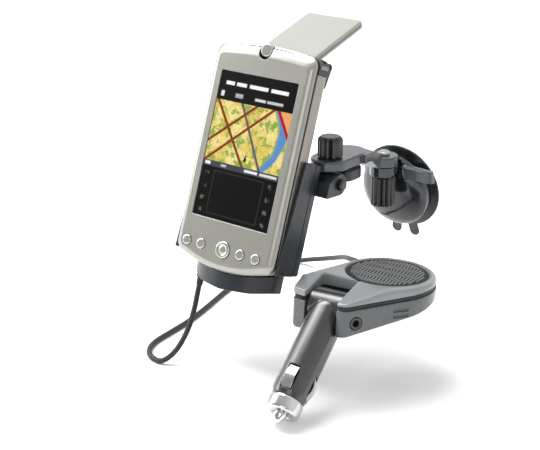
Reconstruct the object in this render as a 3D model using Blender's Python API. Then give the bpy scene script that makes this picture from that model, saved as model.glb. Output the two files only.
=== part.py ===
# A handheld organiser with a fold-out aerial, standing in its powered cradle. The cradle hangs from a
# suction mount by a tilt hinge and a swivel, and its cord runs to a speaker adapter with a 12 volt plug.
# The origin is the centre of the suction face, +Z is up, and the screen faces -Y. Sizes are in millimetres.

import math

import bmesh
import bpy
from mathutils import Matrix, Vector
from mathutils.geometry import convex_hull_2d

MM = 0.001
GAP = 0.3  # between pieces that touch

# Where the assemblies stand
HANDHELD_AT = (-40.0, -105.0, 32.5)  # centre of the handheld's face
LEAN_BACK = 19.7  # degrees between the face and the vertical
TILT_AXIS_AT = (-6.5, -72.0, 19.5)
SWIVEL_AXIS_AT = (-6.5, -66.5, 0.0)
MOUNT_AXIS_AT = (4.0, -27.0, 0.0)
GLASS_LEAN = 12.0  # degrees that the suction face looks up
ADAPTER_AT = (20.0, -108.0, -33.5)  # plug pivot
ADAPTER_TILT = -4.0
ADAPTER_YAW = 7.0
PLUG_DROP = 42.0  # degrees below the adapter's housing

# Handheld
BODY_HALF_WIDTH = 35.5
BODY_TOP = 65.0  # at the corners
BODY_TOP_ARCH = 2.2  # rise of the top edge at the middle
BODY_BOTTOM = -58.4
BODY_BOTTOM_ARCH = 5.1
FACE_TOP_DROP = 4.5  # how far the face's top edge leans in below the body's
BODY_CORNER = 6.0
FRONT_DEPTH = 3.4
REAR_FRONT = -5.1  # where the rear shell starts
BODY_DEPTH = 15.3
BODY_WALL = 1.6
FACE_THICKNESS = 1.9
WINDOW_HALF_WIDTH = 27.65
WINDOW_LOW = -35.5
WINDOW_HIGH = 48.9
BUTTON_ROW_Y = -51.0
BUTTON_XS = (-27.2, -16.6, 12.4, 23.6)
BUTTON_RADIUS = 3.1
NAV_RADIUS = 5.0
POWER_Y = 64.0
STYLUS_X = 31.3
STYLUS_Z = -11.6
STYLUS_RADIUS = 2.2

# Aerial
AERIAL_AXIS_Y = 61.2
AERIAL_AXIS_Z = -18.0
AERIAL_OPEN = 53.7  # degrees back from straight up
AERIAL_HALF_WIDTH = 20.0
AERIAL_LENGTH = 53.0
AERIAL_HALF_DEPTH = 2.4
CAP_INNER = 26.0  # corner caps of the hinge cheeks
CAP_LOW = 56.0

# Cradle
CRADLE_HALF_WIDTH = 38.0
CRADLE_TOP = 7.5
CRADLE_BOTTOM = -57.0
TRAY_BACK = -18.5
COVER_BACK = -24.5
FOOT_FRONT = -3.5
FOOT_RIGHT = 28.5
RELIEF_X = -24.0
RELIEF_Z = -16.0
HUB_RADIUS = 6.3
LUG_HALF_WIDTH = 6.2
EAR_WIDTH = 5.0

# Arm and knobs
PLATE_LOW = 26.5
PLATE_HIGH = 32.5
PLATE_RADIUS = 11.3
HUB_LOW = 20.5
TONGUE_LOW = 14.2
TONGUE_HIGH = 20.2
KNOB_RADIUS = 7.2
SCREW_RADIUS = 2.0

# Suction mount
CUP_RADIUS = 26.8
HOUSING_RADIUS = 23.0
LEVER_AXIS = (11.5, 11.0)  # across and out from the glass
LEVER_LOW = 13.0
LEVER_HIGH = 20.5
LEVER_REACH = 31.0

# Adapter
SPEAKER_AT = (22.1, 34.1)
SPEAKER_RADIUS = 28.0
GRILLE_RADIUS = 23.2
ADAPTER_LOW = -11.0
SEAM_LOW = 2.0
SEAM_HIGH = 4.2
ADAPTER_HIGH = 10.5
SLOPE_WAY = (0.58, 0.81)  # from the fork to the far right of the speaker
SLOPE_LEVEL = 24.0  # distance along it where the sloped edges pass their stated heights
BASE_SLOPE = 0.185
SEAM_SLOPE = 0.06
FORK_HALF_WIDTH = 10.9
FORK_AT = (5.5, 0.5, -4.0)
FORK_BACK = 10.3
PLUG_RADIUS = 10.4
PLUG_LENGTH = 59.5
NOSE_LENGTH = 8.0
JACK_AT = (26.0, -8.7, -6.6)
JACK_FACING = -35.5  # degrees, the side wall's outward direction
VENT_ALONG = 22.5  # along the side wall from the jack
VENT_LENGTH = 9.5
VENT_HEIGHTS = (1.2, 4.6)  # above the jack
CONTACT_BOW = 1.7
CONTACT_TURNS = (("plug_contact_top", -85.0), ("plug_contact_side", 15.0))  # degrees about the plug's axis
SLOT_FLOOR = 7.4  # from the plug's axis

# Cord, from the cradle's relief to the adapter's
CORD_RADIUS = 1.6
CORD_POINTS = 76
CORD_ROUTE = (
    (-64.0, -116.0, -45.7), (-64.0, -117.7, -50.4), (-62.5, -122.5, -58.5), (-61.0, -129.5, -67.5),
    (-62.0, -136.5, -76.5), (-65.5, -142.0, -83.0), (-71.0, -144.6, -85.9), (-79.0, -143.0, -85.9),
    (-86.0, -137.0, -85.9), (-90.5, -127.0, -85.9), (-92.5, -112.0, -85.9), (-95.0, -92.0, -85.9),
    (-100.0, -70.0, -85.9), (-106.0, -48.0, -85.9), (-111.0, -26.0, -85.9), (-113.5, -5.0, -85.9),
    (-112.5, 13.0, -85.9), (-108.0, 26.0, -85.9), (-100.0, 31.0, -84.8), (-90.0, 30.0, -81.3),
    (-78.0, 26.0, -76.6), (-66.0, 20.0, -71.2), (-54.0, 11.0, -65.0), (-42.0, -1.0, -58.1),
    (-30.0, -14.0, -51.4), (-18.0, -27.0, -45.3), (-6.3, -37.2, -40.6), (-1.6, -40.9, -39.8),
    (2.3, -43.9, -39.6), (5.2, -46.2, -39.4),
)

ROUND = 32
SMALL_ROUND = 16


# Outlines, as lists of (a, b) points


def circle(a, b, radius, count=ROUND, start=0.0):
    steps = [start + math.tau * step / count for step in range(count)]
    return [(a + radius * math.cos(step), b + radius * math.sin(step)) for step in steps]


def hull(*circles, count=ROUND):
    points = [point for a, b, radius in circles for point in circle(a, b, radius, count)]
    return [points[index] for index in convex_hull_2d(points)]


def rounded_box(low_a, high_a, low_b, high_b, radius, count=SMALL_ROUND):
    corners = [(a, b) for a in (low_a + radius, high_a - radius) for b in (low_b + radius, high_b - radius)]
    return hull(*[(a, b, radius) for a, b in corners], count=count)


def arched_edge(height, rise, steps=12):
    """The handheld's top or bottom edge, a shallow arch between its corners."""
    reach = BODY_HALF_WIDTH - BODY_CORNER
    across = [-1 + 2 * step / steps for step in range(steps + 1)]
    return [(reach * part, height + rise * (1 - part * part)) for part in across]


def body_outline(grow=0.0, drop=0.0):
    """The handheld seen from the front: straight sides, arched ends and round corners."""
    points = rounded_box(-BODY_HALF_WIDTH, BODY_HALF_WIDTH, BODY_BOTTOM, BODY_TOP, BODY_CORNER)
    points += arched_edge(BODY_TOP, BODY_TOP_ARCH) + arched_edge(BODY_BOTTOM, -BODY_BOTTOM_ARCH)
    outline = grown([points[index] for index in convex_hull_2d(points)], grow)
    start = BODY_TOP - 12
    return [(x, y - drop * max(0.0, (y - start) / (BODY_TOP - start))) for x, y in outline]


def grown(outline, distance):
    """The convex outline moved outwards, or inwards for a negative distance."""
    if not distance:
        return list(outline)
    turning = sum(a[0] * b[1] - a[1] * b[0] for a, b in zip(outline, outline[1:] + outline[:1]))
    side = 1 if turning > 0 else -1
    moved = []
    for index, point in enumerate(outline):
        here = Vector(point)
        first = (here - Vector(outline[index - 1])).normalized()
        second = (Vector(outline[(index + 1) % len(outline)]) - here).normalized()
        normals = [Vector((edge.y, -edge.x)) * side for edge in (first, second)]
        middle = (normals[0] + normals[1]).normalized()
        moved.append(tuple(here + middle * distance / max(0.5, middle.dot(normals[0]))))
    return moved


# Solids. Each takes its outline in millimetres and makes its mesh in metres.


def on_axis(axis, a, b, along):
    """A point of an outline (a, b) at a height along the axis."""
    return {"X": (along, a, b), "Y": (a, along, b), "Z": (a, b, along)}[axis]


def finish(name, colour, roughness, metallic=0.0):
    material = bpy.data.materials.new(name)
    material.use_nodes = True
    shader = material.node_tree.nodes["Principled BSDF"]
    shader.inputs["Base Color"].default_value = (*colour, 1.0)
    shader.inputs["Roughness"].default_value = roughness
    shader.inputs["Metallic"].default_value = metallic
    return material


def frame_at(name, location, parent=None, turn=(0.0, 0.0, 0.0)):
    """An empty that carries the pieces of one assembly. Turn is in degrees about X, Y and Z."""
    empty = bpy.data.objects.new(name, None)
    bpy.context.scene.collection.objects.link(empty)
    empty.location = [value * MM for value in location]
    empty.rotation_euler = [math.radians(value) for value in turn]
    empty.parent = parent
    return empty


def solid(name, points, faces, frame, material=None):
    mesh = bpy.data.meshes.new(name)
    shape = bmesh.new()
    made = [shape.verts.new(Vector(point) * MM) for point in points]
    for face in faces:
        shape.faces.new([made[index] for index in face])
    bmesh.ops.recalc_face_normals(shape, faces=shape.faces)
    shape.to_mesh(mesh)
    shape.free()
    mesh.shade_smooth()
    mesh.set_sharp_from_angle(angle=math.radians(35))
    thing = bpy.data.objects.new(name, mesh)
    bpy.context.scene.collection.objects.link(thing)
    thing.parent = frame
    if material:
        mesh.materials.append(material)
    else:
        thing.hide_render = True
        thing.display_type = "WIRE"
    return thing


def stacked(name, rings, frame, material=None):
    """Rings of equal count joined by walls, with the first and the last one closed."""
    count = len(rings[0])
    points = [point for ring in rings for point in ring]
    faces = [list(range(count)), list(range(len(points) - count, len(points)))]
    for level in range(len(rings) - 1):
        low = level * count
        for step in range(count):
            after = (step + 1) % count
            faces.append([low + step, low + after, low + count + after, low + count + step])
    return solid(name, points, faces, frame, material)


def layered(name, outline, levels, frame, material=None, axis="Z"):
    """A convex outline stacked at (height, inset) levels, so its edges can be rounded."""
    rings = []
    for height, inset in levels:
        rings.append([on_axis(axis, a, b, height) for a, b in grown(outline, -inset)])
    return stacked(name, rings, frame, material)


def prism(name, outline, low, high, frame, material=None, axis="Z"):
    rings = [[on_axis(axis, a, b, height) for a, b in outline] for height in (low, high)]
    return stacked(name, rings, frame, material)


def block(name, low, high, frame, material=None):
    outline = [(low[0], low[1]), (high[0], low[1]), (high[0], high[1]), (low[0], high[1])]
    return prism(name, outline, low[2], high[2], frame, material)


def turned(name, profile, frame, material=None, centre=(0.0, 0.0), axis="Z", count=ROUND):
    """A profile of (radius, height) points turned about the axis through centre, from axis to axis."""
    points = [on_axis(axis, *centre, profile[0][1])]
    for radius, height in profile[1:-1]:
        points += [on_axis(axis, a, b, height) for a, b in circle(*centre, radius, count)]
    points.append(on_axis(axis, *centre, profile[-1][1]))
    last = len(points) - 1
    faces = []
    for step in range(count):
        after = (step + 1) % count
        faces.append([0, 1 + step, 1 + after])
        for level in range(len(profile) - 3):
            low = 1 + level * count
            faces.append([low + step, low + after, low + count + after, low + count + step])
        faces.append([last, last - count + after, last - count + step])
    return solid(name, points, faces, frame, material)


def ring(name, outer, inner, low, high, frame, material=None, axis="Z"):
    """The wall between two outlines of equal count."""
    count = len(outer)
    loops = [(outer, low), (outer, high), (inner, high), (inner, low)]
    points = [on_axis(axis, a, b, height) for loop, height in loops for a, b in loop]
    faces = []
    for level in range(4):
        low_loop, high_loop = level * count, (level + 1) % 4 * count
        for step in range(count):
            after = (step + 1) % count
            faces.append([low_loop + step, low_loop + after, high_loop + after, high_loop + step])
    return solid(name, points, faces, frame, material)


def tube(
    name, outer, inner, low, high, frame, material=None, centre=(0.0, 0.0), axis="Z", count=SMALL_ROUND,
):
    return ring(
        name, circle(*centre, outer, count), circle(*centre, inner, count), low, high, frame, material,
        axis,
    )


def boolean(target, others, operation):
    for other in others:
        step = target.modifiers.new(operation.lower(), "BOOLEAN")
        step.operation = operation
        step.solver = "EXACT"
        step.object = other
    return target


def cut(target, *others):
    return boolean(target, others, "DIFFERENCE")


def join(target, *others):
    return boolean(target, others, "UNION")


# Handheld


def handheld(frame):
    silver = finish("champagne_silver", (0.62, 0.61, 0.56), 0.38, 0.35)
    dark_seam = finish("seam_grey", (0.10, 0.10, 0.10), 0.6)
    outline = body_outline()

    front_levels = [
        (-FRONT_DEPTH, 0, 0), (-2.8, 0.05, 0.12), (-1.3, 0.3, 0.35), (-0.4, 1.1, 0.7), (0, 2.4, 1.0),
    ]
    rings = []
    for height, inset, lean in front_levels:
        rings.append([(x, y, height) for x, y in body_outline(-inset, FACE_TOP_DROP * lean)])
    front = stacked("front_shell", rings, frame, silver)
    window_y = (WINDOW_LOW, WINDOW_HIGH)
    holes = [
        prism("front_hollow", body_outline(-BODY_WALL), -FRONT_DEPTH - 1, -FACE_THICKNESS, frame),
        prism(
            "window", rounded_box(-WINDOW_HALF_WIDTH, WINDOW_HALF_WIDTH, *window_y, 0.8, 8), -4, 1, frame,
        ),
        prism(
            "power_notch", hull((0, POWER_Y, 4.4), (0, POWER_Y - 1.2, 4.4), (0, 72, 4.4), count=24), -6,
            1, frame,
        ),
        prism("nav_hole", circle(0, BUTTON_ROW_Y, NAV_RADIUS + GAP, 24), -4, 1, frame),
    ]
    for number, x in enumerate(BUTTON_XS, 1):
        hole = circle(x, BUTTON_ROW_Y, BUTTON_RADIUS + GAP, SMALL_ROUND)
        holes.append(prism(f"button_hole_{number}", hole, -4, 1, frame))
    cut(front, *holes)

    ring(
        "mid_frame", body_outline(-0.45), body_outline(-1.9), REAR_FRONT + GAP, -FRONT_DEPTH - GAP, frame,
        dark_seam,
    )

    rear_levels = [(REAR_FRONT, 0), (-12.4, 0.2), (-14.4, 1.0), (-BODY_DEPTH, 2.8)]
    rear = layered(
        "rear_shell", outline, rear_levels, frame, finish("rear_silver", (0.42, 0.40, 0.36), 0.45, 0.2),
    )
    cut(
        rear,
        prism("rear_hollow", body_outline(-BODY_WALL), -BODY_DEPTH + 1.7, -4, frame),
        prism(
            "stylus_mouth", circle(STYLUS_X, STYLUS_Z, STYLUS_RADIUS + 0.5, SMALL_ROUND), 50, 66, frame,
            axis="Y",
        ),
        block("dock_mouth", (-10.6, -66, -12), (10.6, -57, -8.6), frame),
        *cap_rooms("rear", frame),
    )

    glass = rounded_box(
        -WINDOW_HALF_WIDTH + GAP, WINDOW_HALF_WIDTH - GAP, WINDOW_LOW + GAP, WINDOW_HIGH - GAP, 0.6, 8,
    )
    prism("screen_lens", glass, -1.7, -0.35, frame, finish("screen_glass", (0.02, 0.02, 0.025), 0.08))
    block(
        "lcd_module", (-29, -37, -4.7), (29, 50.5, -2.2), frame,
        finish("lcd_silver", (0.5, 0.5, 0.5), 0.4, 0.6),
    )
    board = finish("circuit_green", (0.03, 0.16, 0.07), 0.5)
    main_board = layered("main_board", body_outline(-2.4), [(-8.4, 0), (-7.3, 0)], frame, board)
    cut(main_board, *cap_rooms("board", frame))
    battery_outline = rounded_box(-26, 26, -45, 14, 3, 8)
    prism("battery", battery_outline, -13.2, -8.8, frame, finish("battery_wrap", (0.08, 0.09, 0.12), 0.5))
    speaker_profile = [(0, -12.8), (7, -12.8), (7, -9.4), (5, -8.8), (0, -8.8)]
    turned(
        "speaker", speaker_profile, frame, finish("speaker_can", (0.3, 0.3, 0.3), 0.4, 0.7), (-16, 36),
        count=20,
    )
    block(
        "dock_socket", (-9.6, -60.6, -11.6), (9.6, -54.5, -8.9), frame,
        finish("socket_black", (0.03, 0.03, 0.03), 0.5),
    )


def button(name, frame, radius, flange, material):
    """A cap in its own frame, with a flange under the face."""
    profile = [
        (0, -3.6), (radius + flange, -3.6), (radius + flange, -2.7), (radius, -2.7),
        (radius, 0.2), (radius - 0.5, 0.65), (radius - 1.4, 0.8), (0, 0.7),
    ]
    turned(name, profile, frame, material, count=24)


def buttons(frame):
    pearl = finish("button_pearl", (0.72, 0.72, 0.70), 0.3, 0.3)
    for number, x in enumerate(BUTTON_XS, 1):
        at = frame_at(f"app_button_{number}_frame", (x, BUTTON_ROW_Y, 0), frame)
        button(f"app_button_{number}", at, BUTTON_RADIUS, 0.9, pearl)
    button(
        "nav_button", frame_at("nav_button_frame", (0, BUTTON_ROW_Y, 0), frame), NAV_RADIUS, 0.9, pearl,
    )
    at = frame_at("power_button_frame", (0, POWER_Y, 0), frame)
    cap = circle(0, 0, 4.05, 24)
    layered("power_button", cap, [(-3.3, 0), (-1.6, 0), (-0.8, 0.5), (-0.5, 1.2)], at, pearl)


def stylus(frame):
    at = frame_at("stylus_frame", (STYLUS_X, 0, STYLUS_Z), frame)
    profile = [
        (0, -42), (0.8, -41.2), (STYLUS_RADIUS - 0.3, -36), (STYLUS_RADIUS - 0.3, 54),
        (STYLUS_RADIUS, 55), (STYLUS_RADIUS, 61.5), (STYLUS_RADIUS - 0.6, 62.6), (0, 62.8),
    ]
    turned("stylus", profile, at, finish("stylus_black", (0.03, 0.03, 0.03), 0.25), axis="Y", count=14)


def cap_rooms(name, frame):
    """Cutters for the two top corners that the hinge cheeks' caps take up."""
    rooms = []
    for side in (-1, 1):
        near, far = sorted((side * (CAP_INNER - GAP), side * 37.0))
        rooms.append(block(f"{name}_cap_room_{side}", (near, CAP_LOW - GAP, -17), (far, 68, -4), frame))
    return rooms


def aerial(frame):
    black = finish("hinge_black", (0.03, 0.03, 0.03), 0.35)
    for side, name in ((-1, "hinge_cheek_left"), (1, "hinge_cheek_right")):
        outline = hull(
            (AERIAL_AXIS_Y, AERIAL_AXIS_Z, 2.4), (50.5, -16.9, 1.2), (61.9, -16.3, 0.65), count=20,
        )
        near, far = sorted((side * (AERIAL_HALF_WIDTH + 0.5), side * 33.0))
        cheek = prism(name, outline, near, far, frame, black, axis="X")
        cap_levels = [(-17.2, 1.6), (-15.8, 0.3), (REAR_FRONT, 0)]
        cap = layered(f"{name}_cap", body_outline(), cap_levels, frame)
        inner, outer = sorted((side * CAP_INNER, side * 37.0))
        boolean(cap, [block(f"{name}_corner", (inner, CAP_LOW, -18), (outer, 68, -4), frame)], "INTERSECT")
        join(cheek, cap)
        mouth = circle(STYLUS_X, STYLUS_Z, STYLUS_RADIUS + 0.5, SMALL_ROUND)
        if side > 0:
            cut(cheek, prism(f"{name}_stylus_way", mouth, 50, 70, frame, axis="Y"))
        bore = circle(AERIAL_AXIS_Y, AERIAL_AXIS_Z, 1.35, 12)
        cut(cheek, prism(f"{name}_bore", bore, near - 1, far + 1, frame, axis="X"))
    pin = circle(AERIAL_AXIS_Y, AERIAL_AXIS_Z, 1.0, 12)
    steel = finish("pin_steel", (0.55, 0.55, 0.55), 0.3, 1.0)
    prism("aerial_pin", pin, -32.4, 32.4, frame, steel, axis="X")

    at = frame_at("aerial_frame", (0, AERIAL_AXIS_Y, AERIAL_AXIS_Z), frame, (-AERIAL_OPEN, 0, 0))
    pale = finish("aerial_grey", (0.60, 0.60, 0.56), 0.4, 0.2)
    wide, depth = AERIAL_HALF_WIDTH, AERIAL_HALF_DEPTH
    outline = rounded_box(-wide, wide, 3.4, AERIAL_LENGTH, 2.5, 12)
    cover = layered("aerial_cover", outline, [(0.15, 0), (depth - 0.8, 0), (depth, 0.8)], at, pale)
    cut(cover, prism("cover_hollow", rounded_box(-17.5, 17.5, 8, 50.5, 1, 8), -1, 1.5, at))
    base = layered("aerial_base", outline, [(-depth, 0.8), (-depth + 0.8, 0), (-0.15, 0)], at, pale)
    knuckle = prism("knuckle", circle(0, 0, depth - 0.05, 20), -wide + 0.2, wide - 0.2, at, axis="X")
    web = block("web", (-wide + 1, 0.5, -2.1), (wide - 1, 5, -0.15), at)
    bore = prism("knuckle_bore", circle(0, 0, 1.3, 12), -wide - 1, wide + 1, at, axis="X")
    join(base, knuckle, web)
    cut(base, bore, prism("base_hollow", rounded_box(-17.5, 17.5, 8, 50.5, 1, 8), -1.5, 1, at))
    patch = rounded_box(-13, 13, 16, 42, 1, 8)
    prism("patch_aerial", patch, -1.2, 1.2, at, finish("patch_ceramic", (0.55, 0.42, 0.25), 0.5))


# Cradle


def cradle(frame):
    slate = finish("cradle_slate", (0.055, 0.065, 0.075), 0.5)
    wide, top, bottom = CRADLE_HALF_WIDTH, CRADLE_TOP, CRADLE_BOTTOM
    inner = BODY_HALF_WIDTH + 0.35
    tray = block("cradle_tray", (-wide, bottom, TRAY_BACK), (wide, top, -BODY_DEPTH - 0.35), frame, slate)
    side_outline = [(bottom, TRAY_BACK), (top, TRAY_BACK), (top, -8.5), (bottom, -3.4)]
    join(
        tray,
        prism("tray_side_left", side_outline, -wide, -inner, frame, axis="X"),
        prism("tray_side_right", side_outline, inner, wide, frame, axis="X"),
    )
    screw_places = [(-30, top - 8), (-30, bottom + 8)]
    cover_outline = rounded_box(-wide, wide, bottom, top, 1.5, 8)
    cover_levels = [
        (COVER_BACK, 1.4), (COVER_BACK + 1.0, 0.2), (COVER_BACK + 1.4, 0), (TRAY_BACK - GAP, 0),
    ]
    cover = layered("cradle_rear_cover", cover_outline, cover_levels, frame, slate)
    cut(
        cover,
        block("cover_room", (-wide + 2, bottom + 2, COVER_BACK + 1.8), (wide - 2, top - 2, -10), frame),
    )
    steel = finish("screw_steel", (0.35, 0.35, 0.36), 0.35, 1.0)
    for number, (x, y) in enumerate(screw_places, 1):
        cut(tray, prism(f"screw_hole_{number}", circle(x, y, 1.3, 10), -20, -16.6, frame))
        cut(
            cover,
            prism(f"screw_bore_{number}", circle(x, y, 1.3, 10), -30, -20, frame),
            prism(f"screw_seat_{number}", circle(x, y, 2.6, 14), -30, COVER_BACK + 1.2, frame),
        )
        profile = [(0, COVER_BACK + 0.2), (2.2, COVER_BACK + 0.2), (2.2, COVER_BACK + 0.9), (
            1.0, COVER_BACK + 0.9,
        ),
                   (1.0, -17.2), (0, -17.2)]
        turned(f"cover_screw_{number}", profile, frame, steel, (x, y), count=12)
    board = finish("cradle_board_green", (0.03, 0.16, 0.07), 0.5)
    block("cradle_board", (-26, -50, -21.8), (20, -8, -20.2), frame, board)

    foot_outline = hull(
        (-wide + 5, -62.5, 5), (wide - 5, -62.5, 5), (-17, -68, 4), (17, -68, 4), (0, -69.4, 4), count=24,
    )
    foot_outline = [(x, min(y, bottom - GAP)) for x, y in foot_outline]
    foot = prism("cradle_foot", foot_outline, COVER_BACK - 10, 5, frame, slate)
    boolean(foot, [foot_plan(frame)], "INTERSECT")
    cut(
        foot,
        prism("foot_seat", body_outline(0.35), -BODY_DEPTH - 0.35, 5, frame),
        block("plug_pocket", (-9.0, -66.4, -11.5), (9.0, -50, -8.9), frame),
        prism("relief_bore", circle(RELIEF_X, RELIEF_Z, 3.0, SMALL_ROUND), -80, -66.6, frame, axis="Y"),
    )
    contacts = finish("contact_black", (0.04, 0.04, 0.04), 0.4)
    block("dock_plug", (-8.7, -66.1, -11.2), (8.7, -60.9, -9.2), frame, contacts)
    relief = [(0, -66.9), (2.7, -66.9), (2.7, -71.6), (2.1, -72.4), (1.9, -77.0), (0, -77.0)]
    rubber = finish("relief_rubber", (0.04, 0.04, 0.045), 0.6)
    turned("cradle_relief", relief, frame, rubber, (RELIEF_X, RELIEF_Z), axis="Y", count=SMALL_ROUND)


def foot_plan(frame):
    """The foot seen from above: straight behind and one wide arc in front, with its lower edge rounded."""
    radius = 39.0
    middle = FOOT_FRONT - radius
    arc = [(radius * math.sin(turn), middle + radius * math.cos(turn)) for turn in
           (math.radians(-62 + 124 * step / 24) for step in range(25))]
    outline = [(min(x, FOOT_RIGHT), z) for x, z in arc if z > COVER_BACK]
    outline = [(-34.5, COVER_BACK)] + outline + [(FOOT_RIGHT, COVER_BACK)]
    return prism("foot_plan", outline, -90, -40, frame, axis="Y")


def tilt_hinge(cradle_frame, hub):
    """The bracket's ears in the cradle's frame, and the lug and plate in the hub's own."""
    slate = finish("bracket_slate", (0.06, 0.07, 0.08), 0.45)
    to_cradle = Matrix.Rotation(math.radians(LEAN_BACK - 90), 3, "X")
    x, y, z = to_cradle @ (Vector(TILT_AXIS_AT) - Vector(HANDHELD_AT))
    near, far = x - LUG_HALF_WIDTH - GAP, x + LUG_HALF_WIDTH + GAP
    bracket = block("cradle_bracket", (near - EAR_WIDTH, y - 9, COVER_BACK - 2.6), (
        far + EAR_WIDTH, y, COVER_BACK - GAP,
    ),
                    cradle_frame, slate)
    ear = hull(
        (y, z, HUB_RADIUS), (y - 7.6, COVER_BACK - 1.7, 1.3), (y - 1.5, COVER_BACK - 1.7, 1.3), count=24,
    )
    join(
        bracket,
        prism("ear_left", ear, near - EAR_WIDTH, near, cradle_frame, axis="X"),
        prism("ear_right", ear, far, far + EAR_WIDTH, cradle_frame, axis="X"),
    )
    bore = circle(y, z, SCREW_RADIUS + GAP, SMALL_ROUND)
    cut(bracket, prism("ear_bore", bore, near - 9, far + 9, cradle_frame, axis="X"))
    outside = far + EAR_WIDTH
    bolt = [
        (0, near - EAR_WIDTH - 2.4), (3.4, near - EAR_WIDTH - 2.4), (3.4, near - EAR_WIDTH - GAP),
        (SCREW_RADIUS, near - EAR_WIDTH - GAP), (SCREW_RADIUS, outside + GAP), (3.4, outside + GAP),
        (3.4, outside + 2.0), (2.6, outside + 2.6), (0, outside + 2.6),
    ]
    steel = finish("bolt_steel", (0.5, 0.5, 0.5), 0.3, 1.0)
    turned("tilt_bolt", bolt, cradle_frame, steel, (y, z), axis="X", count=12)

    lug = prism(
        "tilt_block", circle(0, 0, HUB_RADIUS, 24), -LUG_HALF_WIDTH, LUG_HALF_WIDTH, hub, slate, axis="X",
    )
    join(
        lug,
        block("lug_neck", (-LUG_HALF_WIDTH, 0.5, -1), (LUG_HALF_WIDTH, 12, 5), hub),
        prism(
            "lug_plate", hull((-6, 12.6, 5), (6, 12.6, 5), (-3, 18.4, 8), (3, 18.4, 8), count=24), -1, 5,
            hub,
        ),
    )
    screw_y = SWIVEL_AXIS_AT[1] - TILT_AXIS_AT[1]
    cut(
        lug,
        prism("lug_bore", circle(0, 0, SCREW_RADIUS + GAP, SMALL_ROUND), -9, 9, hub, axis="X"),
        prism("stud_hole", circle(0, screw_y, SCREW_RADIUS + GAP, SMALL_ROUND), 2.7, 9, hub),
    )


# Arm


def arm(swivel, mount_axis):
    slate = finish("arm_slate", (0.10, 0.11, 0.12), 0.35)
    plate_outline = hull((0, 0, PLATE_RADIUS), (0, 17.5, PLATE_RADIUS), count=28)
    levels = [(PLATE_LOW, 0.6), (PLATE_LOW + 0.6, 0), (PLATE_HIGH - 0.9, 0), (PLATE_HIGH, 0.9)]
    plate = layered("arm", plate_outline, levels, swivel, slate)
    high = PLATE_HIGH - 0.3
    neck_side = [
        (16, 27), (22.8, 27), (30, HUB_LOW), (42, HUB_LOW), (42, 26.2), (35, 26.2), (26, high),
        (16, high),
    ]
    hub_outline = circle(
        MOUNT_AXIS_AT[0] - SWIVEL_AXIS_AT[0], MOUNT_AXIS_AT[1] - SWIVEL_AXIS_AT[1], 8.5, 24,
    )
    join(
        plate,
        prism("arm_neck", neck_side, -3.0, 13.5, swivel, axis="X"),
        layered("arm_hub", hub_outline, [(HUB_LOW, 0), (25.7, 0), (26.4, 0.7)], swivel),
    )
    cut(
        plate,
        prism("swivel_bore", circle(0, 0, SCREW_RADIUS + GAP, SMALL_ROUND), 20, 40, swivel),
        prism("hub_bore", circle(0, 0, SCREW_RADIUS + 0.6, SMALL_ROUND), 10, 40, mount_axis),
    )


def fluted(name, low, high, radius, flutes, frame, material, steps=6, dome=1.2):
    """A hand knob with shallow flutes round it and a rounded end at the top."""
    def rim(shrink):
        points = []
        for step in range(flutes * steps):
            turn = math.tau * step / (flutes * steps)
            wave = 0.5 + 0.5 * math.cos(flutes * turn)
            reach = radius - shrink - 0.9 * (1 - wave) ** 2
            points.append((reach * math.cos(turn), reach * math.sin(turn)))
        return points
    levels = [(low, 0.5), (low + 0.5, 0.0), (high - dome, 0.0), (high - dome * 0.4, 0.7), (high, 2.2)]
    rings = [[(a, b, height) for a, b in rim(shrink)] for height, shrink in levels]
    return stacked(name, rings, frame, material)


def knobs(swivel, mount_axis):
    black = finish("knob_black", (0.02, 0.022, 0.025), 0.4)
    steel = finish("stud_steel", (0.5, 0.5, 0.5), 0.3, 1.0)
    top = fluted("swivel_knob", PLATE_HIGH + GAP, 45.0, KNOB_RADIUS, 10, swivel, black, steps=4, dome=2.5)
    cut(top, prism("insert", circle(0, 0, SCREW_RADIUS + GAP, SMALL_ROUND), 20, 39.3, swivel))
    stud = [(0, 22.6), (SCREW_RADIUS, 22.6), (SCREW_RADIUS, 39.0), (0, 39.0)]
    turned("swivel_stud", stud, swivel, steel, count=12)

    lower = fluted(
        "ribbed_knob", -4.5, TONGUE_LOW - GAP, KNOB_RADIUS, 12, mount_axis, black, steps=4, dome=1.0,
    )
    cut(lower, prism("lower_insert", circle(0, 0, SCREW_RADIUS + GAP, SMALL_ROUND), 4.0, 30, mount_axis))
    screw = [
        (0, 4.4), (SCREW_RADIUS, 4.4), (SCREW_RADIUS, 26.7), (3.6, 26.7), (3.6, 28.2), (2.4, 28.9),
        (0, 28.9),
    ]
    turned("pivot_screw", screw, mount_axis, steel, count=12)


# Suction mount. Its frame's Z points out from the glass.


def prism_up(name, outline, low, high, frame, material=None):
    """A prism along the mount's own up direction, Y, from an outline across and out from the glass."""
    return prism(name, outline, low, high, frame, material, axis="Y")


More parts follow.
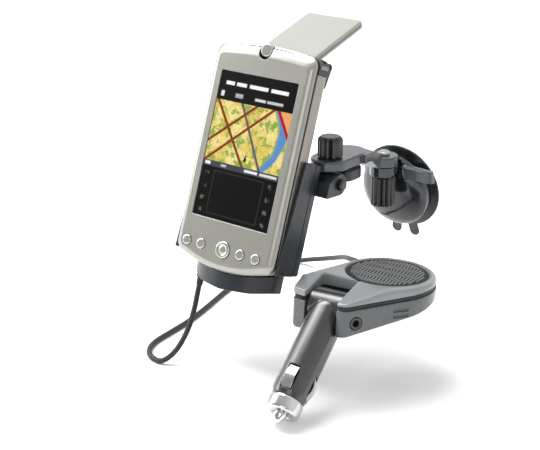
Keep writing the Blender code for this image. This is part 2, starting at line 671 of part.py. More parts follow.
def suction_mount(frame, mount_axis):
    rubber = finish("cup_rubber", (0.03, 0.032, 0.035), 0.55)
    cup_profile = [
        (0, 0), (CUP_RADIUS, 0), (CUP_RADIUS + 0.1, 1.4), (22.5, 3.4), (15, 5.2), (7, 6.4), (0, 6.6),
    ]
    cup = turned("suction_cup", cup_profile, frame, rubber, count=40)
    tabs = []
    for number, turn in enumerate((-101, -77), 1):
        a, b = (33.5 * math.cos(math.radians(turn)), 33.5 * math.sin(math.radians(turn)))
        near = (a * 0.72, b * 0.72, 3.0)
        tabs.append(
            prism(f"pull_tab_{number}", hull(near, (a * 0.93, b * 0.93, 3.3), count=20), 0.2, 1.4, frame),
        )
    join(cup, *tabs)

    shell = finish("mount_slate", (0.05, 0.055, 0.06), 0.3)
    profile = [
        (0, 14.5), (9, 14.3), (16, 13.4), (20.5, 11.4), (22.8, 8.6), (HOUSING_RADIUS, 5.0), (
            HOUSING_RADIUS - 0.8, 4.2,
        ),
        (HOUSING_RADIUS - 2.4, 4.4), (0, 7.8),
    ]
    housing = turned("mount_housing", profile, frame, shell, count=36)
    tongue = hull((0, 0, 8.2), (-3.5, 10.5, 5.5), count=24)
    join(housing, prism("tongue", tongue, TONGUE_LOW, TONGUE_HIGH, mount_axis))
    across, out = LEVER_AXIS
    slot = hull(
        (across, out, 2.9), (across, out + 12, 2.9), (40, out - 2, 3.0), (40, out + 12, 3.0), count=16,
    )
    pin_bore = circle(across, out, 1.3, 12)
    cut(
        housing,
        prism("tongue_bore", circle(0, 0, SCREW_RADIUS + 0.6, SMALL_ROUND), 10, 22, mount_axis),
        prism("rod_bore", circle(0, 0, 2.8, SMALL_ROUND), 3, 12.0, frame),
        turned("rod_room", [(0, 3), (9, 3), (9, 11.2), (0, 11.2)], frame, count=24),
        prism_up("lever_slot", slot, LEVER_LOW - GAP, LEVER_HIGH + GAP, frame),
        prism_up("lever_bore", pin_bore, 7.0, LEVER_HIGH + 5, frame),
    )

    lever_at = frame_at("lever_frame", (across, 0, out), frame)
    reach = LEVER_REACH - across
    lever_outline = hull((0, 0, 2.3), (reach - 2, 0.2, 1.9), (reach * 0.55, 0.4, 2.2), count=16)
    lever = prism_up(
        "release_lever", lever_outline, LEVER_LOW, LEVER_HIGH, lever_at,
        finish("lever_grey", (0.14, 0.15, 0.16), 0.3),
    )
    cut(lever, prism_up("lever_eye", circle(0, 0, 1.3, 12), LEVER_LOW - 1, LEVER_HIGH + 1, lever_at))
    steel = finish("lever_steel", (0.5, 0.5, 0.5), 0.3, 1.0)
    prism_up("lever_pin", circle(across, out, 1.0, 12), 7.4, LEVER_HIGH + 0.2, frame, steel)
    rod = [(0, 8.9), (6.0, 8.9), (6.0, 9.9), (2.4, 9.9), (2.4, 11.6), (0, 11.6)]
    turned("pull_rod", rod, frame, finish("rod_brass", (0.6, 0.5, 0.25), 0.35, 1.0), count=SMALL_ROUND)


# Adapter. Its origin is the plug's pivot, its plug points along -Y and its speaker lies behind.


def sloped(name, outline, levels, frame, material=None):
    """Like layered, with a third value in each level: how steeply it climbs away from the plug."""
    rings = []
    for height, inset, slope in levels:
        rings.append([
            (x, y, height + slope * (SLOPE_WAY[0] * x + SLOPE_WAY[1] * y - SLOPE_LEVEL)) for x, y in grown(
                outline, -inset,
            )
        ])
    return stacked(name, rings, frame, material)


def adapter(frame):
    grey = finish("adapter_grey", (0.15, 0.16, 0.165), 0.38)
    dark = finish("adapter_seam", (0.02, 0.02, 0.02), 0.5)
    outline = hull(
        (*SPEAKER_AT, SPEAKER_RADIUS), (-11.5, 3, 4.0), (-11.0, -5.5, 3.6), (18.8, -8.4, 6), count=36,
    )
    low, high = ADAPTER_LOW, ADAPTER_HIGH
    bottom = sloped("adapter_bottom", outline, [
        (low, 2.2, BASE_SLOPE), (low + 0.7, 0.8, BASE_SLOPE), (low + 2.4, 0, BASE_SLOPE), (
            SEAM_LOW, 0, SEAM_SLOPE,
        ),
    ], frame, grey)
    top = sloped("adapter_top", outline, [
        (SEAM_HIGH, 0, SEAM_SLOPE), (high - 1.7, 0.2, 0), (high - 0.7, 1.1, 0), (high, 2.7, 0),
    ], frame, grey)
    band = sloped("adapter_band", outline, [
        (SEAM_LOW + GAP, 0.7, SEAM_SLOPE), (SEAM_HIGH - GAP, 0.7, SEAM_SLOPE),
    ], frame, dark)
    room = SPEAKER_RADIUS - 4.4
    at = frame_at("fork_frame", FORK_AT, frame)
    fork = block("fork", (-FORK_HALF_WIDTH, -40, -30), (FORK_HALF_WIDTH, FORK_BACK, 30), at)
    pin_bore = prism("plug_pin_bore", circle(0, 0, 2.3, SMALL_ROUND), -17.8, 16.0, at, axis="X")
    inside = circle(*SPEAKER_AT, room)
    bottom_room = sloped(
        "bottom_room", inside, [(low + 2.2, 0, BASE_SLOPE), (SEAM_HIGH, 0, SEAM_SLOPE)], frame,
    )
    cut(bottom, bottom_room, fork, pin_bore)
    cut(band, prism("band_room", inside, -9, 12, frame), fork, pin_bore)
    cut(
        top,
        prism("top_room", inside, -9, high - 2.2, frame),
        prism("grille_hole", circle(*SPEAKER_AT, GRILLE_RADIUS + GAP), 0, 20, frame),
        prism(
            "deck_slope", [(9.5, high + 0.3), (9.5, 30), (-30, 30), (-30, 0.4)], -40, 60, frame, axis="X",
        ),
        fork,
    )
    mesh_black = finish("grille_grey", (0.16, 0.17, 0.175), 0.5)
    grille_profile = [(0, high - 2.0), (GRILLE_RADIUS, high - 2.0), (GRILLE_RADIUS, high - 0.5), (
        GRILLE_RADIUS - 1, high - 0.2,
    ),
                      (14, high + 0.4), (0, high + 0.7)]
    turned("speaker_grille", grille_profile, frame, mesh_black, SPEAKER_AT)
    cone = [
        (0, -2.5), (9, -2.5), (9, 0.5), (12, 0.5), (21.2, 5.0), (22.9, 5.0), (22.9, 7.6), (20.5, 7.6),
        (7, 3.5), (0, 4.5),
    ]
    turned(
        "speaker_driver", cone, frame, finish("driver_black", (0.03, 0.03, 0.03), 0.6), SPEAKER_AT,
        count=28,
    )
    board_outline = rounded_box(11, 33, 15, 26, 2, 8)
    prism(
        "adapter_board", board_outline, -5.4, -4.0, frame,
        finish("adapter_board_green", (0.03, 0.16, 0.07), 0.5),
    )

    jack = frame_at("jack_frame", JACK_AT, frame, (0, 0, JACK_FACING))
    bore = prism("jack_bore", circle(0, 0, 3.8, 20), -5.0, 9.0, jack, axis="X")
    vents = [
        block(f"vent_{number}", (-1.2, VENT_ALONG, z - 0.8), (3, VENT_ALONG + VENT_LENGTH, z + 0.8), jack)
        for number, z in enumerate(VENT_HEIGHTS, 1)
    ]
    cut(bottom, bore, *vents)
    metal = finish("jack_black", (0.015, 0.015, 0.015), 0.3)
    tube("jack_ring", 3.5, 2.0, -4.7, -0.2, jack, metal, axis="X", count=20)

    exit_turn = math.radians(135)
    edge = (
        SPEAKER_AT[0] + SPEAKER_RADIUS * math.cos(exit_turn),
        SPEAKER_AT[1] + SPEAKER_RADIUS * math.sin(exit_turn),
    )
    exit_frame = frame_at("adapter_exit_frame", (*edge, -1.5), frame, (0, 0, 135))
    cut(bottom, prism("exit_bore", circle(0, 0, 3.0, SMALL_ROUND), -1.5, 9, exit_frame, axis="X"))
    relief = [(0, -1.2), (2.7, -1.2), (2.7, 2.0), (2.2, 3.0), (1.9, 13.0), (0, 13.0)]
    turned(
        "adapter_relief", relief, exit_frame, finish("exit_rubber", (0.04, 0.04, 0.045), 0.6), axis="X",
        count=SMALL_ROUND,
    )

    steel = finish("pivot_steel", (0.5, 0.5, 0.5), 0.3, 1.0)
    prism("plug_pin", circle(0, 0, 2.0, 14), -17.5, 15.7, at, steel, axis="X")


def plug(frame):
    black = finish("plug_black", (0.02, 0.022, 0.025), 0.28)
    chrome = finish("plug_nickel", (0.8, 0.8, 0.8), 0.15, 1.0)
    radius, length = PLUG_RADIUS, PLUG_LENGTH
    barrel_profile = [
        (0, -2), (radius - 0.6, -2), (radius, -5), (radius, 4 - length), (radius - 1.4, -length),
        (0, -length),
    ]
    barrel = turned("plug_barrel", barrel_profile, frame, black, axis="Y")
    join(barrel, prism("plug_head", circle(0, 0, 9.6, 28), -10.1, 10.1, frame, axis="X"))
    slots = []
    for name, turn in CONTACT_TURNS:
        at = frame_at(f"{name}_frame", (0, 0, 0), frame, (0, turn, 0))
        slots.append(block(f"{name}_slot", (SLOT_FLOOR, 3 - length, -3.4), (15, 17 - length, 3.4), at))
        outer, inner = [], []
        for step in range(9):
            part = step / 8
            bow = CONTACT_BOW * math.sin(math.pi * part)
            y = 3.6 - length + 12.8 * part
            outer.append((9.6 + bow, y))
            inner.append((8.8 + bow, y))
        prism(name, outer + inner[::-1], -2.9, 2.9, at, chrome)
    cut(
        barrel,
        prism("plug_eye", circle(0, 0, 2.3, SMALL_ROUND), -12, 12, frame, axis="X"),
        prism("plug_room", circle(0, 0, 6.2, 24), -length - 2, -14, frame, axis="Y"),
        *slots,
    )
    nose = -length - GAP
    ring_profile = [(0, nose), (radius - 1.2, nose), (radius - 0.7, nose - 1.5), (
        radius - 0.9, nose - NOSE_LENGTH + 1.2,
    ),
                    (radius - 2.0, nose - NOSE_LENGTH), (0, nose - NOSE_LENGTH)]
    nose_ring = turned("plug_nose", ring_profile, frame, chrome, axis="Y")
    cut(nose_ring, prism("nose_bore", circle(0, 0, 4.2, 20), nose - 12, nose + 2, frame, axis="Y"))

    tip = frame_at("tip_frame", (0, nose, 0), frame)
    tip_profile = [
        (0, 6), (5.4, 6), (5.4, 4.6), (3.8, 4.6), (3.8, -NOSE_LENGTH - 1), (3.2, -NOSE_LENGTH - 2.5),
        (1.8, -NOSE_LENGTH - 5), (0, -NOSE_LENGTH - 5.8),
    ]
    turned("plug_tip", tip_profile, tip, chrome, axis="Y", count=20)
    fuse_profile = [(0, 33 - length), (3.2, 33 - length), (3.2, 14 - length), (0, 14 - length)]
    turned("fuse", fuse_profile, frame, finish("fuse_glass", (0.7, 0.75, 0.7), 0.2), axis="Y", count=14)


def power_cord():
    """A tube along a smooth curve through the route's points."""
    route = [Vector(point) for point in CORD_ROUTE]
    route = [route[0] * 2 - route[1]] + route + [route[-1] * 2 - route[-2]]
    smooth = []
    for index in range(1, len(route) - 2):
        before, start, end, after = route[index - 1:index + 3]
        for step in range(12):
            part = step / 12
            smooth.append(0.5 * (
                2 * start + (end - before) * part + (2 * before - 5 * start + 4 * end - after) * part ** 2
                + (3 * start - before - 3 * end + after) * part ** 3
            ))
    smooth.append(route[-2])
    reach = [0.0]
    for first, second in zip(smooth, smooth[1:]):
        reach.append(reach[-1] + (second - first).length)
    curve = bpy.data.curves.new("power_cord", "CURVE")
    curve.dimensions = "3D"
    curve.bevel_depth = CORD_RADIUS * MM
    curve.bevel_resolution = 2
    curve.use_fill_caps = True
    line = curve.splines.new("POLY")
    line.points.add(CORD_POINTS - 1)
    at = 0
    for index in range(CORD_POINTS):
        wanted = reach[-1] * index / (CORD_POINTS - 1)
        while at < len(reach) - 2 and reach[at + 1] < wanted:
            at += 1
        part = (wanted - reach[at]) / (reach[at + 1] - reach[at])
        line.points[index].co = (*(smooth[at].lerp(smooth[at + 1], part) * MM), 1.0)
    curve.materials.append(finish("cord_grey", (0.09, 0.095, 0.10), 0.5))
    cord = bpy.data.objects.new("power_cord", curve)
    bpy.context.scene.collection.objects.link(cord)


def build():
    for thing in list(bpy.data.objects):
        bpy.data.objects.remove(thing, do_unlink=True)
    upright = 90 - LEAN_BACK
    handheld_frame = frame_at("handheld_frame", HANDHELD_AT, turn=(upright, 0, 0))
    cradle_frame = frame_at("cradle_frame", HANDHELD_AT, turn=(upright, 0, 0))
    hub = frame_at("tilt_frame", TILT_AXIS_AT)
    swivel = frame_at("swivel_frame", SWIVEL_AXIS_AT)
    mount_axis = frame_at("mount_axis_frame", MOUNT_AXIS_AT)
    mount_frame = frame_at("mount_frame", (0, 0, 0), turn=(90 + GLASS_LEAN, 0, 0))
    adapter_frame = frame_at("adapter_frame", ADAPTER_AT, turn=(ADAPTER_TILT, 0, ADAPTER_YAW))
    plug_frame = frame_at("plug_frame", FORK_AT, adapter_frame, (PLUG_DROP, 0, 0))
    handheld(handheld_frame)
    buttons(handheld_frame)
    stylus(handheld_frame)
    aerial(handheld_frame)
    cradle(cradle_frame)
    tilt_hinge(cradle_frame, hub)
    arm(swivel, mount_axis)
    knobs(swivel, mount_axis)
    suction_mount(mount_frame, mount_axis)
    adapter(adapter_frame)
    plug(plug_frame)
    power_cord()


build()
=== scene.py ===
import math

import bmesh
import bpy
from mathutils import Matrix, Vector


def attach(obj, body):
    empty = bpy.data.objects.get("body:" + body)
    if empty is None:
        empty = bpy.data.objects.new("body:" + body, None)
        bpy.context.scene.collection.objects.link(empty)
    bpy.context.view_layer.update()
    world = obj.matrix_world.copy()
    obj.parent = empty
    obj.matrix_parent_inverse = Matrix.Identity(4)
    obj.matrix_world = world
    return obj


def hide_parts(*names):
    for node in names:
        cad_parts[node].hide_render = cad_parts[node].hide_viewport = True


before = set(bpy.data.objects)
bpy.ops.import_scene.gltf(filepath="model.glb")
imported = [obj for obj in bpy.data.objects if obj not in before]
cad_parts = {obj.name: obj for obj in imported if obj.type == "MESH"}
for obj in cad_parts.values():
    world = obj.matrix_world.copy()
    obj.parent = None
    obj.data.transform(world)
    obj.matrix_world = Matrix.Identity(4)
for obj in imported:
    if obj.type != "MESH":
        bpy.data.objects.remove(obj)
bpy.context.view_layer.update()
print("frame loaded:", len(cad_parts), "nodes")

mm = 0.001


# Places of the assemblies, in millimetres, as the CAD has them


def placed(at, *turns, inside=Matrix()):
    where = inside @ Matrix.Translation(at)
    for axis, degrees in turns:
        where = where @ Matrix.Rotation(math.radians(degrees), 4, axis)
    return where


handheldPlace = placed((-40, -105, 32.5), ("X", 70.3))
pivotPlace = placed((4, -27, 0))
swivelPlace = placed((-6.5, -66.5, 0))
adapterPlace = placed((20, -108, -33.5), ("Z", 7), ("X", -4))
plugPlace = placed((5.5, 0.5, -4.0), ("X", 42), inside=adapterPlace)


# Camera, floor and lights

view = {"at": (408.4, -640.2, 252.9), "azimuth": 38.64, "elevation": 20.31, "lens": 86.67}
azimuth, elevation = math.radians(view["azimuth"]), math.radians(view["elevation"])
forward = Vector((
    -math.sin(azimuth) * math.cos(elevation), math.cos(azimuth) * math.cos(elevation), -math.sin(elevation),
))
camera = bpy.data.objects.new("camera", bpy.data.cameras.new("camera"))
bpy.context.scene.collection.objects.link(camera)
camera.location = Vector(view["at"]) * mm
camera.rotation_euler = forward.to_track_quat("-Z", "Y").to_euler()
camera.data.lens = view["lens"]
camera.data.clip_start = 0.01
bpy.context.scene.camera = camera
bpy.context.scene.view_settings.view_transform = "Standard"

studio = {
    "floorHeight": -87.6, "floorRadius": 6000, "floorColour": (0.90, 0.90, 0.91),
    "worldFront": 0.42, "worldBack": 1.0, "dimUntil": -0.7, "brightFrom": 0.1,
    "lamps": [  # name, place, size, power in watts
        ("overhead", (-480, -120, 1050), (620, 850), 17),
        ("windowLeft", (-1000, -500, 500), (600, 900), 8),
        ("frontFill", (500, -1100, 450), (700, 500), 2),
    ],
}
aim = Vector((-20, -90, 0))
for lampName, at, size, power in studio["lamps"]:
    light = bpy.data.lights.new(lampName, "AREA")
    light.shape = "RECTANGLE"
    light.size, light.size_y = size[0] * mm, size[1] * mm
    light.energy = power
    lamp = bpy.data.objects.new(lampName, light)
    lamp.location = Vector(at) * mm
    lamp.rotation_euler = (aim - Vector(at)).to_track_quat("-Z", "Y").to_euler()
    bpy.context.scene.collection.objects.link(lamp)
world = bpy.data.worlds.new("paleRoom")
world.use_nodes = True
sky = world.node_tree
facing = sky.nodes.new("ShaderNodeSeparateXYZ")
sky.links.new(sky.nodes.new("ShaderNodeTexCoord").outputs["Generated"], facing.inputs[0])
blend = sky.nodes.new("ShaderNodeMapRange")  # the room is dimmer in front of the object than behind it
worldRange = (studio["dimUntil"], studio["brightFrom"], studio["worldFront"], studio["worldBack"])
for item, socket in zip(worldRange, list(blend.inputs)[1:5]):
    socket.default_value = item
sky.links.new(facing.outputs[1], blend.inputs[0])
sky.links.new(blend.outputs[0], sky.nodes["Background"].inputs["Strength"])
sky.nodes["Background"].inputs["Color"].default_value = (1, 1, 1, 1)
bpy.context.scene.world = world
print("camera and lights ready")


# Shader helpers. Values and sockets can both be given, and each call returns its output socket.


def link(tree, value, socket):
    if isinstance(value, bpy.types.NodeSocket):
        tree.links.new(value, socket)
    elif socket.type == "RGBA" and len(value) == 3:
        socket.default_value = (*value, 1)
    else:
        socket.default_value = value


def calc(tree, operation, *values):
    node = tree.nodes.new("ShaderNodeMath")
    node.operation = operation
    for value, socket in zip(values, node.inputs):
        link(tree, value, socket)
    return node.outputs[0]


def mixed(tree, share, first, second):
    node = tree.nodes.new("ShaderNodeMix")
    node.data_type = "RGBA"
    for value, socket in ((share, node.inputs[0]), (first, node.inputs[6]), (second, node.inputs[7])):
        link(tree, value, socket)
    return node.outputs[2]


def ranged(tree, value, low, high, start=0.0, end=1.0):
    node = tree.nodes.new("ShaderNodeMapRange")
    node.interpolation_type = "SMOOTHSTEP"
    for item, socket in zip((value, low, high, start, end), node.inputs):
        link(tree, item, socket)
    return node.outputs[0]


def noisy(tree, where, scale, detail, roughness):
    node = tree.nodes.new("ShaderNodeTexNoise")
    for value, name in ((where, "Vector"), (scale, "Scale"), (detail, "Detail"), (roughness, "Roughness")):
        link(tree, value, node.inputs[name])
    return node.outputs["Fac"]


def newGroup(name, inputs, outputs):
    group = bpy.data.node_groups.new(name, "ShaderNodeTree")
    for socketName, kind, value in inputs:
        socket = group.interface.new_socket(socketName, in_out="INPUT", socket_type=kind)
        if value is not None:
            socket.default_value = value
    for socketName, kind in outputs:
        group.interface.new_socket(socketName, in_out="OUTPUT", socket_type=kind)
    start, end = group.nodes.new("NodeGroupInput"), group.nodes.new("NodeGroupOutput")
    return group, start.outputs, end.inputs


def mouldGrain():
    # fine spark-eroded grain of moulded plastic, with a slow waviness under it
    group, given, made = newGroup(
        "mouldGrain",
        [("Where", "NodeSocketVector", None), ("Scale", "NodeSocketFloat", 2200.0),
         ("Wave", "NodeSocketFloat", 0.3)],
        [("Height", "NodeSocketFloat")],
    )
    fine = noisy(group, given["Where"], given["Scale"], 2.0, 0.6)
    slow = noisy(group, given["Where"], 60.0, 2.0, 0.5)
    group.links.new(calc(group, "MULTIPLY_ADD", slow, given["Wave"], fine), made["Height"])
    return group


def handling():
    # the small unevenness of colour and gloss that use leaves
    group, given, made = newGroup(
        "handling",
        [("Where", "NodeSocketVector", None), ("Colour", "NodeSocketColor", (0.5, 0.5, 0.5, 1)),
         ("Worn", "NodeSocketColor", (0.6, 0.6, 0.6, 1)), ("Amount", "NodeSocketFloat", 0.3),
         ("Roughness", "NodeSocketFloat", 0.4), ("Spread", "NodeSocketFloat", 0.1)],
        [("Colour", "NodeSocketColor"), ("Roughness", "NodeSocketFloat")],
    )
    cloud = noisy(group, given["Where"], 45.0, 4.0, 0.6)
    speck = ranged(group, noisy(group, given["Where"], 900.0, 2.0, 0.5), 0.62, 0.75)
    share = calc(group, "MULTIPLY", ranged(group, cloud, 0.42, 0.72), given["Amount"])
    speckShare = calc(group, "MULTIPLY", speck, calc(group, "MULTIPLY", given["Amount"], 0.4))
    share = calc(group, "ADD", share, speckShare)
    group.links.new(mixed(group, share, given["Colour"], given["Worn"]), made["Colour"])
    uneven = calc(group, "SUBTRACT", cloud, 0.5)
    gloss = calc(group, "MULTIPLY_ADD", uneven, given["Spread"], given["Roughness"])
    group.links.new(gloss, made["Roughness"])
    return group


def fineScratches():
    # hair scratches in one direction, thin and broken
    group, given, made = newGroup(
        "fineScratches",
        [("Where", "NodeSocketVector", None), ("Scale", "NodeSocketFloat", 700.0),
         ("Amount", "NodeSocketFloat", 0.3)],
        [("Mask", "NodeSocketFloat")],
    )
    stretch = group.nodes.new("ShaderNodeMapping")
    stretch.inputs["Scale"].default_value = (1.0, 0.06, 0.06)
    group.links.new(given["Where"], stretch.inputs["Vector"])
    lines = ranged(group, noisy(group, stretch.outputs[0], given["Scale"], 2.0, 0.5), 0.62, 0.72)
    broken = ranged(group, noisy(group, given["Where"], 120.0, 2.0, 0.5), 0.45, 0.6)
    mask = calc(group, "MULTIPLY", calc(group, "MULTIPLY", lines, broken), given["Amount"])
    group.links.new(mask, made["Mask"])
    return group


effects = {"grain": mouldGrain(), "handling": handling(), "scratches": fineScratches()}


def placeGroup(tree, group, **values):
    node = tree.nodes.new("ShaderNodeGroup")
    node.node_tree = group
    for name, value in values.items():
        link(tree, value, node.inputs[name])
    return node.outputs


def surface(name, colour, roughness, worn=None, metallic=0.0, coat=0.0, coatRoughness=0.1, grain=2200.0,
            bump=0.02, amount=0.25, spread=0.12, scratch=0.0, specular=0.5):
    material = bpy.data.materials.new(name)
    material.use_nodes = True
    tree = material.node_tree
    shader = tree.nodes["Principled BSDF"]
    where = tree.nodes.new("ShaderNodeTexCoord").outputs["Object"]
    worn = worn or tuple(min(1.0, value * 1.25 + 0.01) for value in colour)
    used = placeGroup(
        tree, effects["handling"], Where=where, Colour=colour, Worn=worn, Amount=amount, Roughness=roughness,
        Spread=spread,
    )
    height = placeGroup(tree, effects["grain"], Where=where, Scale=grain, Wave=0.3)["Height"]
    if scratch:
        mask = placeGroup(tree, effects["scratches"], Where=where, Amount=scratch)["Mask"]
        height = calc(tree, "SUBTRACT", height, mask)
    bumped = tree.nodes.new("ShaderNodeBump")
    bumped.inputs["Strength"].default_value = 0.6
    bumped.inputs["Distance"].default_value = bump * mm
    tree.links.new(height, bumped.inputs["Height"])
    tree.links.new(used["Colour"], shader.inputs["Base Color"])
    tree.links.new(used["Roughness"], shader.inputs["Roughness"])
    tree.links.new(bumped.outputs[0], shader.inputs["Normal"])
    shader.inputs["Metallic"].default_value = metallic
    shader.inputs["Coat Weight"].default_value = coat
    shader.inputs["Coat Roughness"].default_value = coatRoughness
    shader.inputs["Specular IOR Level"].default_value = specular
    return material


champagne = surface("champagnePaint", (0.345, 0.34, 0.305), 0.30, (0.38, 0.375, 0.34), metallic=0.7, coat=0.3,
                    coatRoughness=0.2, grain=5200.0, bump=0.006, amount=0.2, spread=0.06)
rearPaint = surface("rearPaint", (0.27, 0.25, 0.215), 0.34, metallic=0.6, coat=0.2, coatRoughness=0.25,
                    grain=4800.0, bump=0.006, spread=0.06)
pearl = surface("buttonPearl", (0.46, 0.455, 0.42), 0.16, metallic=0.75, coat=0.6, bump=0.004, amount=0.1)
aerialPlastic = surface("aerialPlastic", (0.285, 0.29, 0.262), 0.42, grain=3000.0, bump=0.012, amount=0.15)
glossBlack = surface("glossBlack", (0.010, 0.010, 0.011), 0.16, coat=0.4, bump=0.006)
slate = surface("cradleSlate", (0.013, 0.017, 0.022), 0.34, (0.03, 0.036, 0.043), grain=1700.0, bump=0.035,
                scratch=0.4)
armSlate = surface("armSlate", (0.045, 0.052, 0.058), 0.22, (0.07, 0.077, 0.084), coat=0.4, grain=2400.0,
                   bump=0.018, scratch=0.4)
knobBlack = surface("knobBlack", (0.005, 0.006, 0.007), 0.3, coat=0.2, grain=2600.0, bump=0.015)
cupRubber = surface("cupRubber", (0.006, 0.007, 0.008), 0.24, (0.02, 0.02, 0.021), coat=0.35, grain=900.0,
                    bump=0.02, amount=0.35)
housingBlack = surface("housingBlack", (0.010, 0.012, 0.015), 0.16, coat=0.5, bump=0.01, scratch=0.5)
leverGrey = surface("leverGrey", (0.08, 0.088, 0.095), 0.24, coat=0.3, bump=0.012)
adapterPlastic = surface("adapterPlastic", (0.075, 0.082, 0.086), 0.27, (0.10, 0.108, 0.113), coat=0.35,
                         coatRoughness=0.25, grain=2000.0, bump=0.018, scratch=0.3)
# the adapter's plastic painted lighter on its top deck: a painted sheen of the light from above
deckPaintedSheen = surface("deckPaintedSheen", (0.21, 0.22, 0.226), 0.24, (0.24, 0.25, 0.256), coat=0.55,
                      coatRoughness=0.2, grain=2000.0, bump=0.015, scratch=0.3)
ribPlastic = surface("ribPlastic", (0.17, 0.175, 0.178), 0.32, grain=2000.0, bump=0.01)
# the grille plate painted near black, far darker than its ribs: painted shade in the grooves between them
groovePaintedShade = surface("groovePaintedShade", (0.012, 0.013, 0.014), 0.6, grain=2000.0, bump=0.01)
seamBlack = surface("seamBlack", (0.006, 0.006, 0.006), 0.5, bump=0.01)
plugBlack = surface("plugBlack", (0.010, 0.011, 0.012), 0.30, coat=1.0, coatRoughness=0.24, grain=2600.0,
                    bump=0.006, scratch=0.4)
nickel = surface("nickel", (0.60, 0.60, 0.59), 0.14, (0.48, 0.47, 0.45), metallic=1.0, grain=1500.0,
                 bump=0.004, amount=0.4, scratch=0.4)
steel = surface("screwSteel", (0.50, 0.50, 0.51), 0.28, (0.36, 0.36, 0.36), metallic=1.0, bump=0.004)
cordRubber = surface("cordRubber", (0.026, 0.028, 0.030), 0.55, (0.040, 0.042, 0.045), grain=1400.0,
                     bump=0.03, specular=0.3)
circuitGreen = surface("circuitGreen", (0.02, 0.11, 0.05), 0.35, (0.10, 0.22, 0.10), coat=0.3, amount=0.5)
innerGrey = surface("innerGrey", (0.30, 0.30, 0.30), 0.4, metallic=0.6)
brass = surface("rodBrass", (0.60, 0.45, 0.18), 0.3, metallic=1.0)
paleFloor = surface("paleFloor", studio["floorColour"], 0.75, studio["floorColour"], grain=300.0, bump=0.01,
                    amount=0.0, spread=0.02, specular=0.2)
print("materials ready")


# Mesh helpers. Outlines and sizes are in millimetres, in a piece's own place.


def circlePoints(a, b, radius, count=48):
    steps = [math.tau * step / count for step in range(count)]
    return [(a + radius * math.cos(step), b + radius * math.sin(step)) for step in steps]


def roundedBox(lowA, highA, lowB, highB, radius):
    count = 6  # steps round each corner
    outline = []
    for a, b, start in ((highA, highB, 0), (lowA, highB, 90), (lowA, lowB, 180), (highA, lowB, 270)):
        centre = (a - radius if a == highA else a + radius, b - radius if b == highB else b + radius)
        for step in range(count + 1):
            turn = math.radians(start + 90 * step / count)
            outline.append((centre[0] + radius * math.cos(turn), centre[1] + radius * math.sin(turn)))
    return outline


def meshPiece(name, points, faces, where, crease=30):
    mesh = bpy.data.meshes.new(name)
    shape = bmesh.new()
    made = [shape.verts.new((where @ Vector(point)) * mm) for point in points]
    for face in faces:
        shape.faces.new([made[index] for index in face])
    bmesh.ops.recalc_face_normals(shape, faces=shape.faces)
    shape.to_mesh(mesh)
    shape.free()
    mesh.shade_smooth()
    mesh.set_sharp_from_angle(angle=math.radians(crease))
    piece = bpy.data.objects.new(name, mesh)
    bpy.context.scene.collection.objects.link(piece)
    return piece


def loft(name, rings, where, crease=30):
    count = len(rings[0])
    points = [point for ring in rings for point in ring]
    faces = [list(range(count)), list(range(len(points) - count, len(points)))]
    for level in range(len(rings) - 1):
        low = level * count
        for step in range(count):
            after = (step + 1) % count
            faces.append([low + step, low + after, low + count + after, low + count + step])
    return meshPiece(name, points, faces, where, crease)


def prism(name, outline, low, high, where):
    return loft(name, [[(a, b, height) for a, b in outline] for height in (low, high)], where)


def lathe(name, profile, where, count, crease):
    # profile of (radius, height) from axis to axis
    points = [(0, 0, profile[0][1])]
    for radius, height in profile[1:-1]:
        points += [(a, b, height) for a, b in circlePoints(0, 0, radius, count)]
    points.append((0, 0, profile[-1][1]))
    last = len(points) - 1
    faces = []
    for step in range(count):
        after = (step + 1) % count
        faces.append([0, 1 + step, 1 + after])
        for level in range(len(profile) - 3):
            low = 1 + level * count
            faces.append([low + step, low + after, low + count + after, low + count + step])
        faces.append([last, last - count + after, last - count + step])
    return meshPiece(name, points, faces, where, crease)


def applyModifiers(piece):
    made = bpy.data.meshes.new_from_object(piece.evaluated_get(bpy.context.evaluated_depsgraph_get()))
    piece.modifiers.clear()
    old, piece.data = piece.data, made
    bpy.data.meshes.remove(old)
    made.name = piece.name


def cutOut(piece, *cutters):
    for cutter in cutters:
        step = piece.modifiers.new("cut", "BOOLEAN")
        step.operation, step.solver, step.object = "DIFFERENCE", "EXACT", cutter
    applyModifiers(piece)
    for cutter in cutters:
        bpy.data.objects.remove(cutter)


easeAngle = 32  # degrees, past which an edge is eased


def easeEdges(piece, width, segments=3, angle=easeAngle):
    if width:
        step = piece.modifiers.new("ease", "BEVEL")
        step.width, step.segments = width * mm, segments
        step.limit_method, step.angle_limit = "ANGLE", math.radians(angle)
        step.use_clamp_overlap = False
    piece.modifiers.new("even", "WEIGHTED_NORMAL").keep_sharp = not width
    applyModifiers(piece)


def dress(piece, material, body, *replaced, slot=None):
    piece.data.materials.clear()
    piece.data.materials.append(material)
    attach(piece, body)
    if replaced:
        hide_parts(*replaced)
    return piece


def easedCopy(name, node, width):
    # the CAD piece with its facets joined, its edges eased and its faces shaded evenly
    shape = bmesh.new()
    shape.from_mesh(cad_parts[node].data)
    bmesh.ops.remove_doubles(shape, verts=shape.verts, dist=2e-6)
    bmesh.ops.dissolve_limit(
        shape, angle_limit=math.radians(0.5), use_dissolve_boundaries=False,
        verts=shape.verts, edges=shape.edges,
    )
    mesh = bpy.data.meshes.new(name)
    shape.to_mesh(mesh)
    shape.free()
    mesh.shade_smooth()
    if not width:
        mesh.set_sharp_from_angle(angle=math.radians(easeAngle))
    piece = bpy.data.objects.new(name, mesh)
    bpy.context.scene.collection.objects.link(piece)
    easeEdges(piece, width, 2)
    return piece


# Power cord, from the cradle's relief, round the loop on the floor and back to the adapter

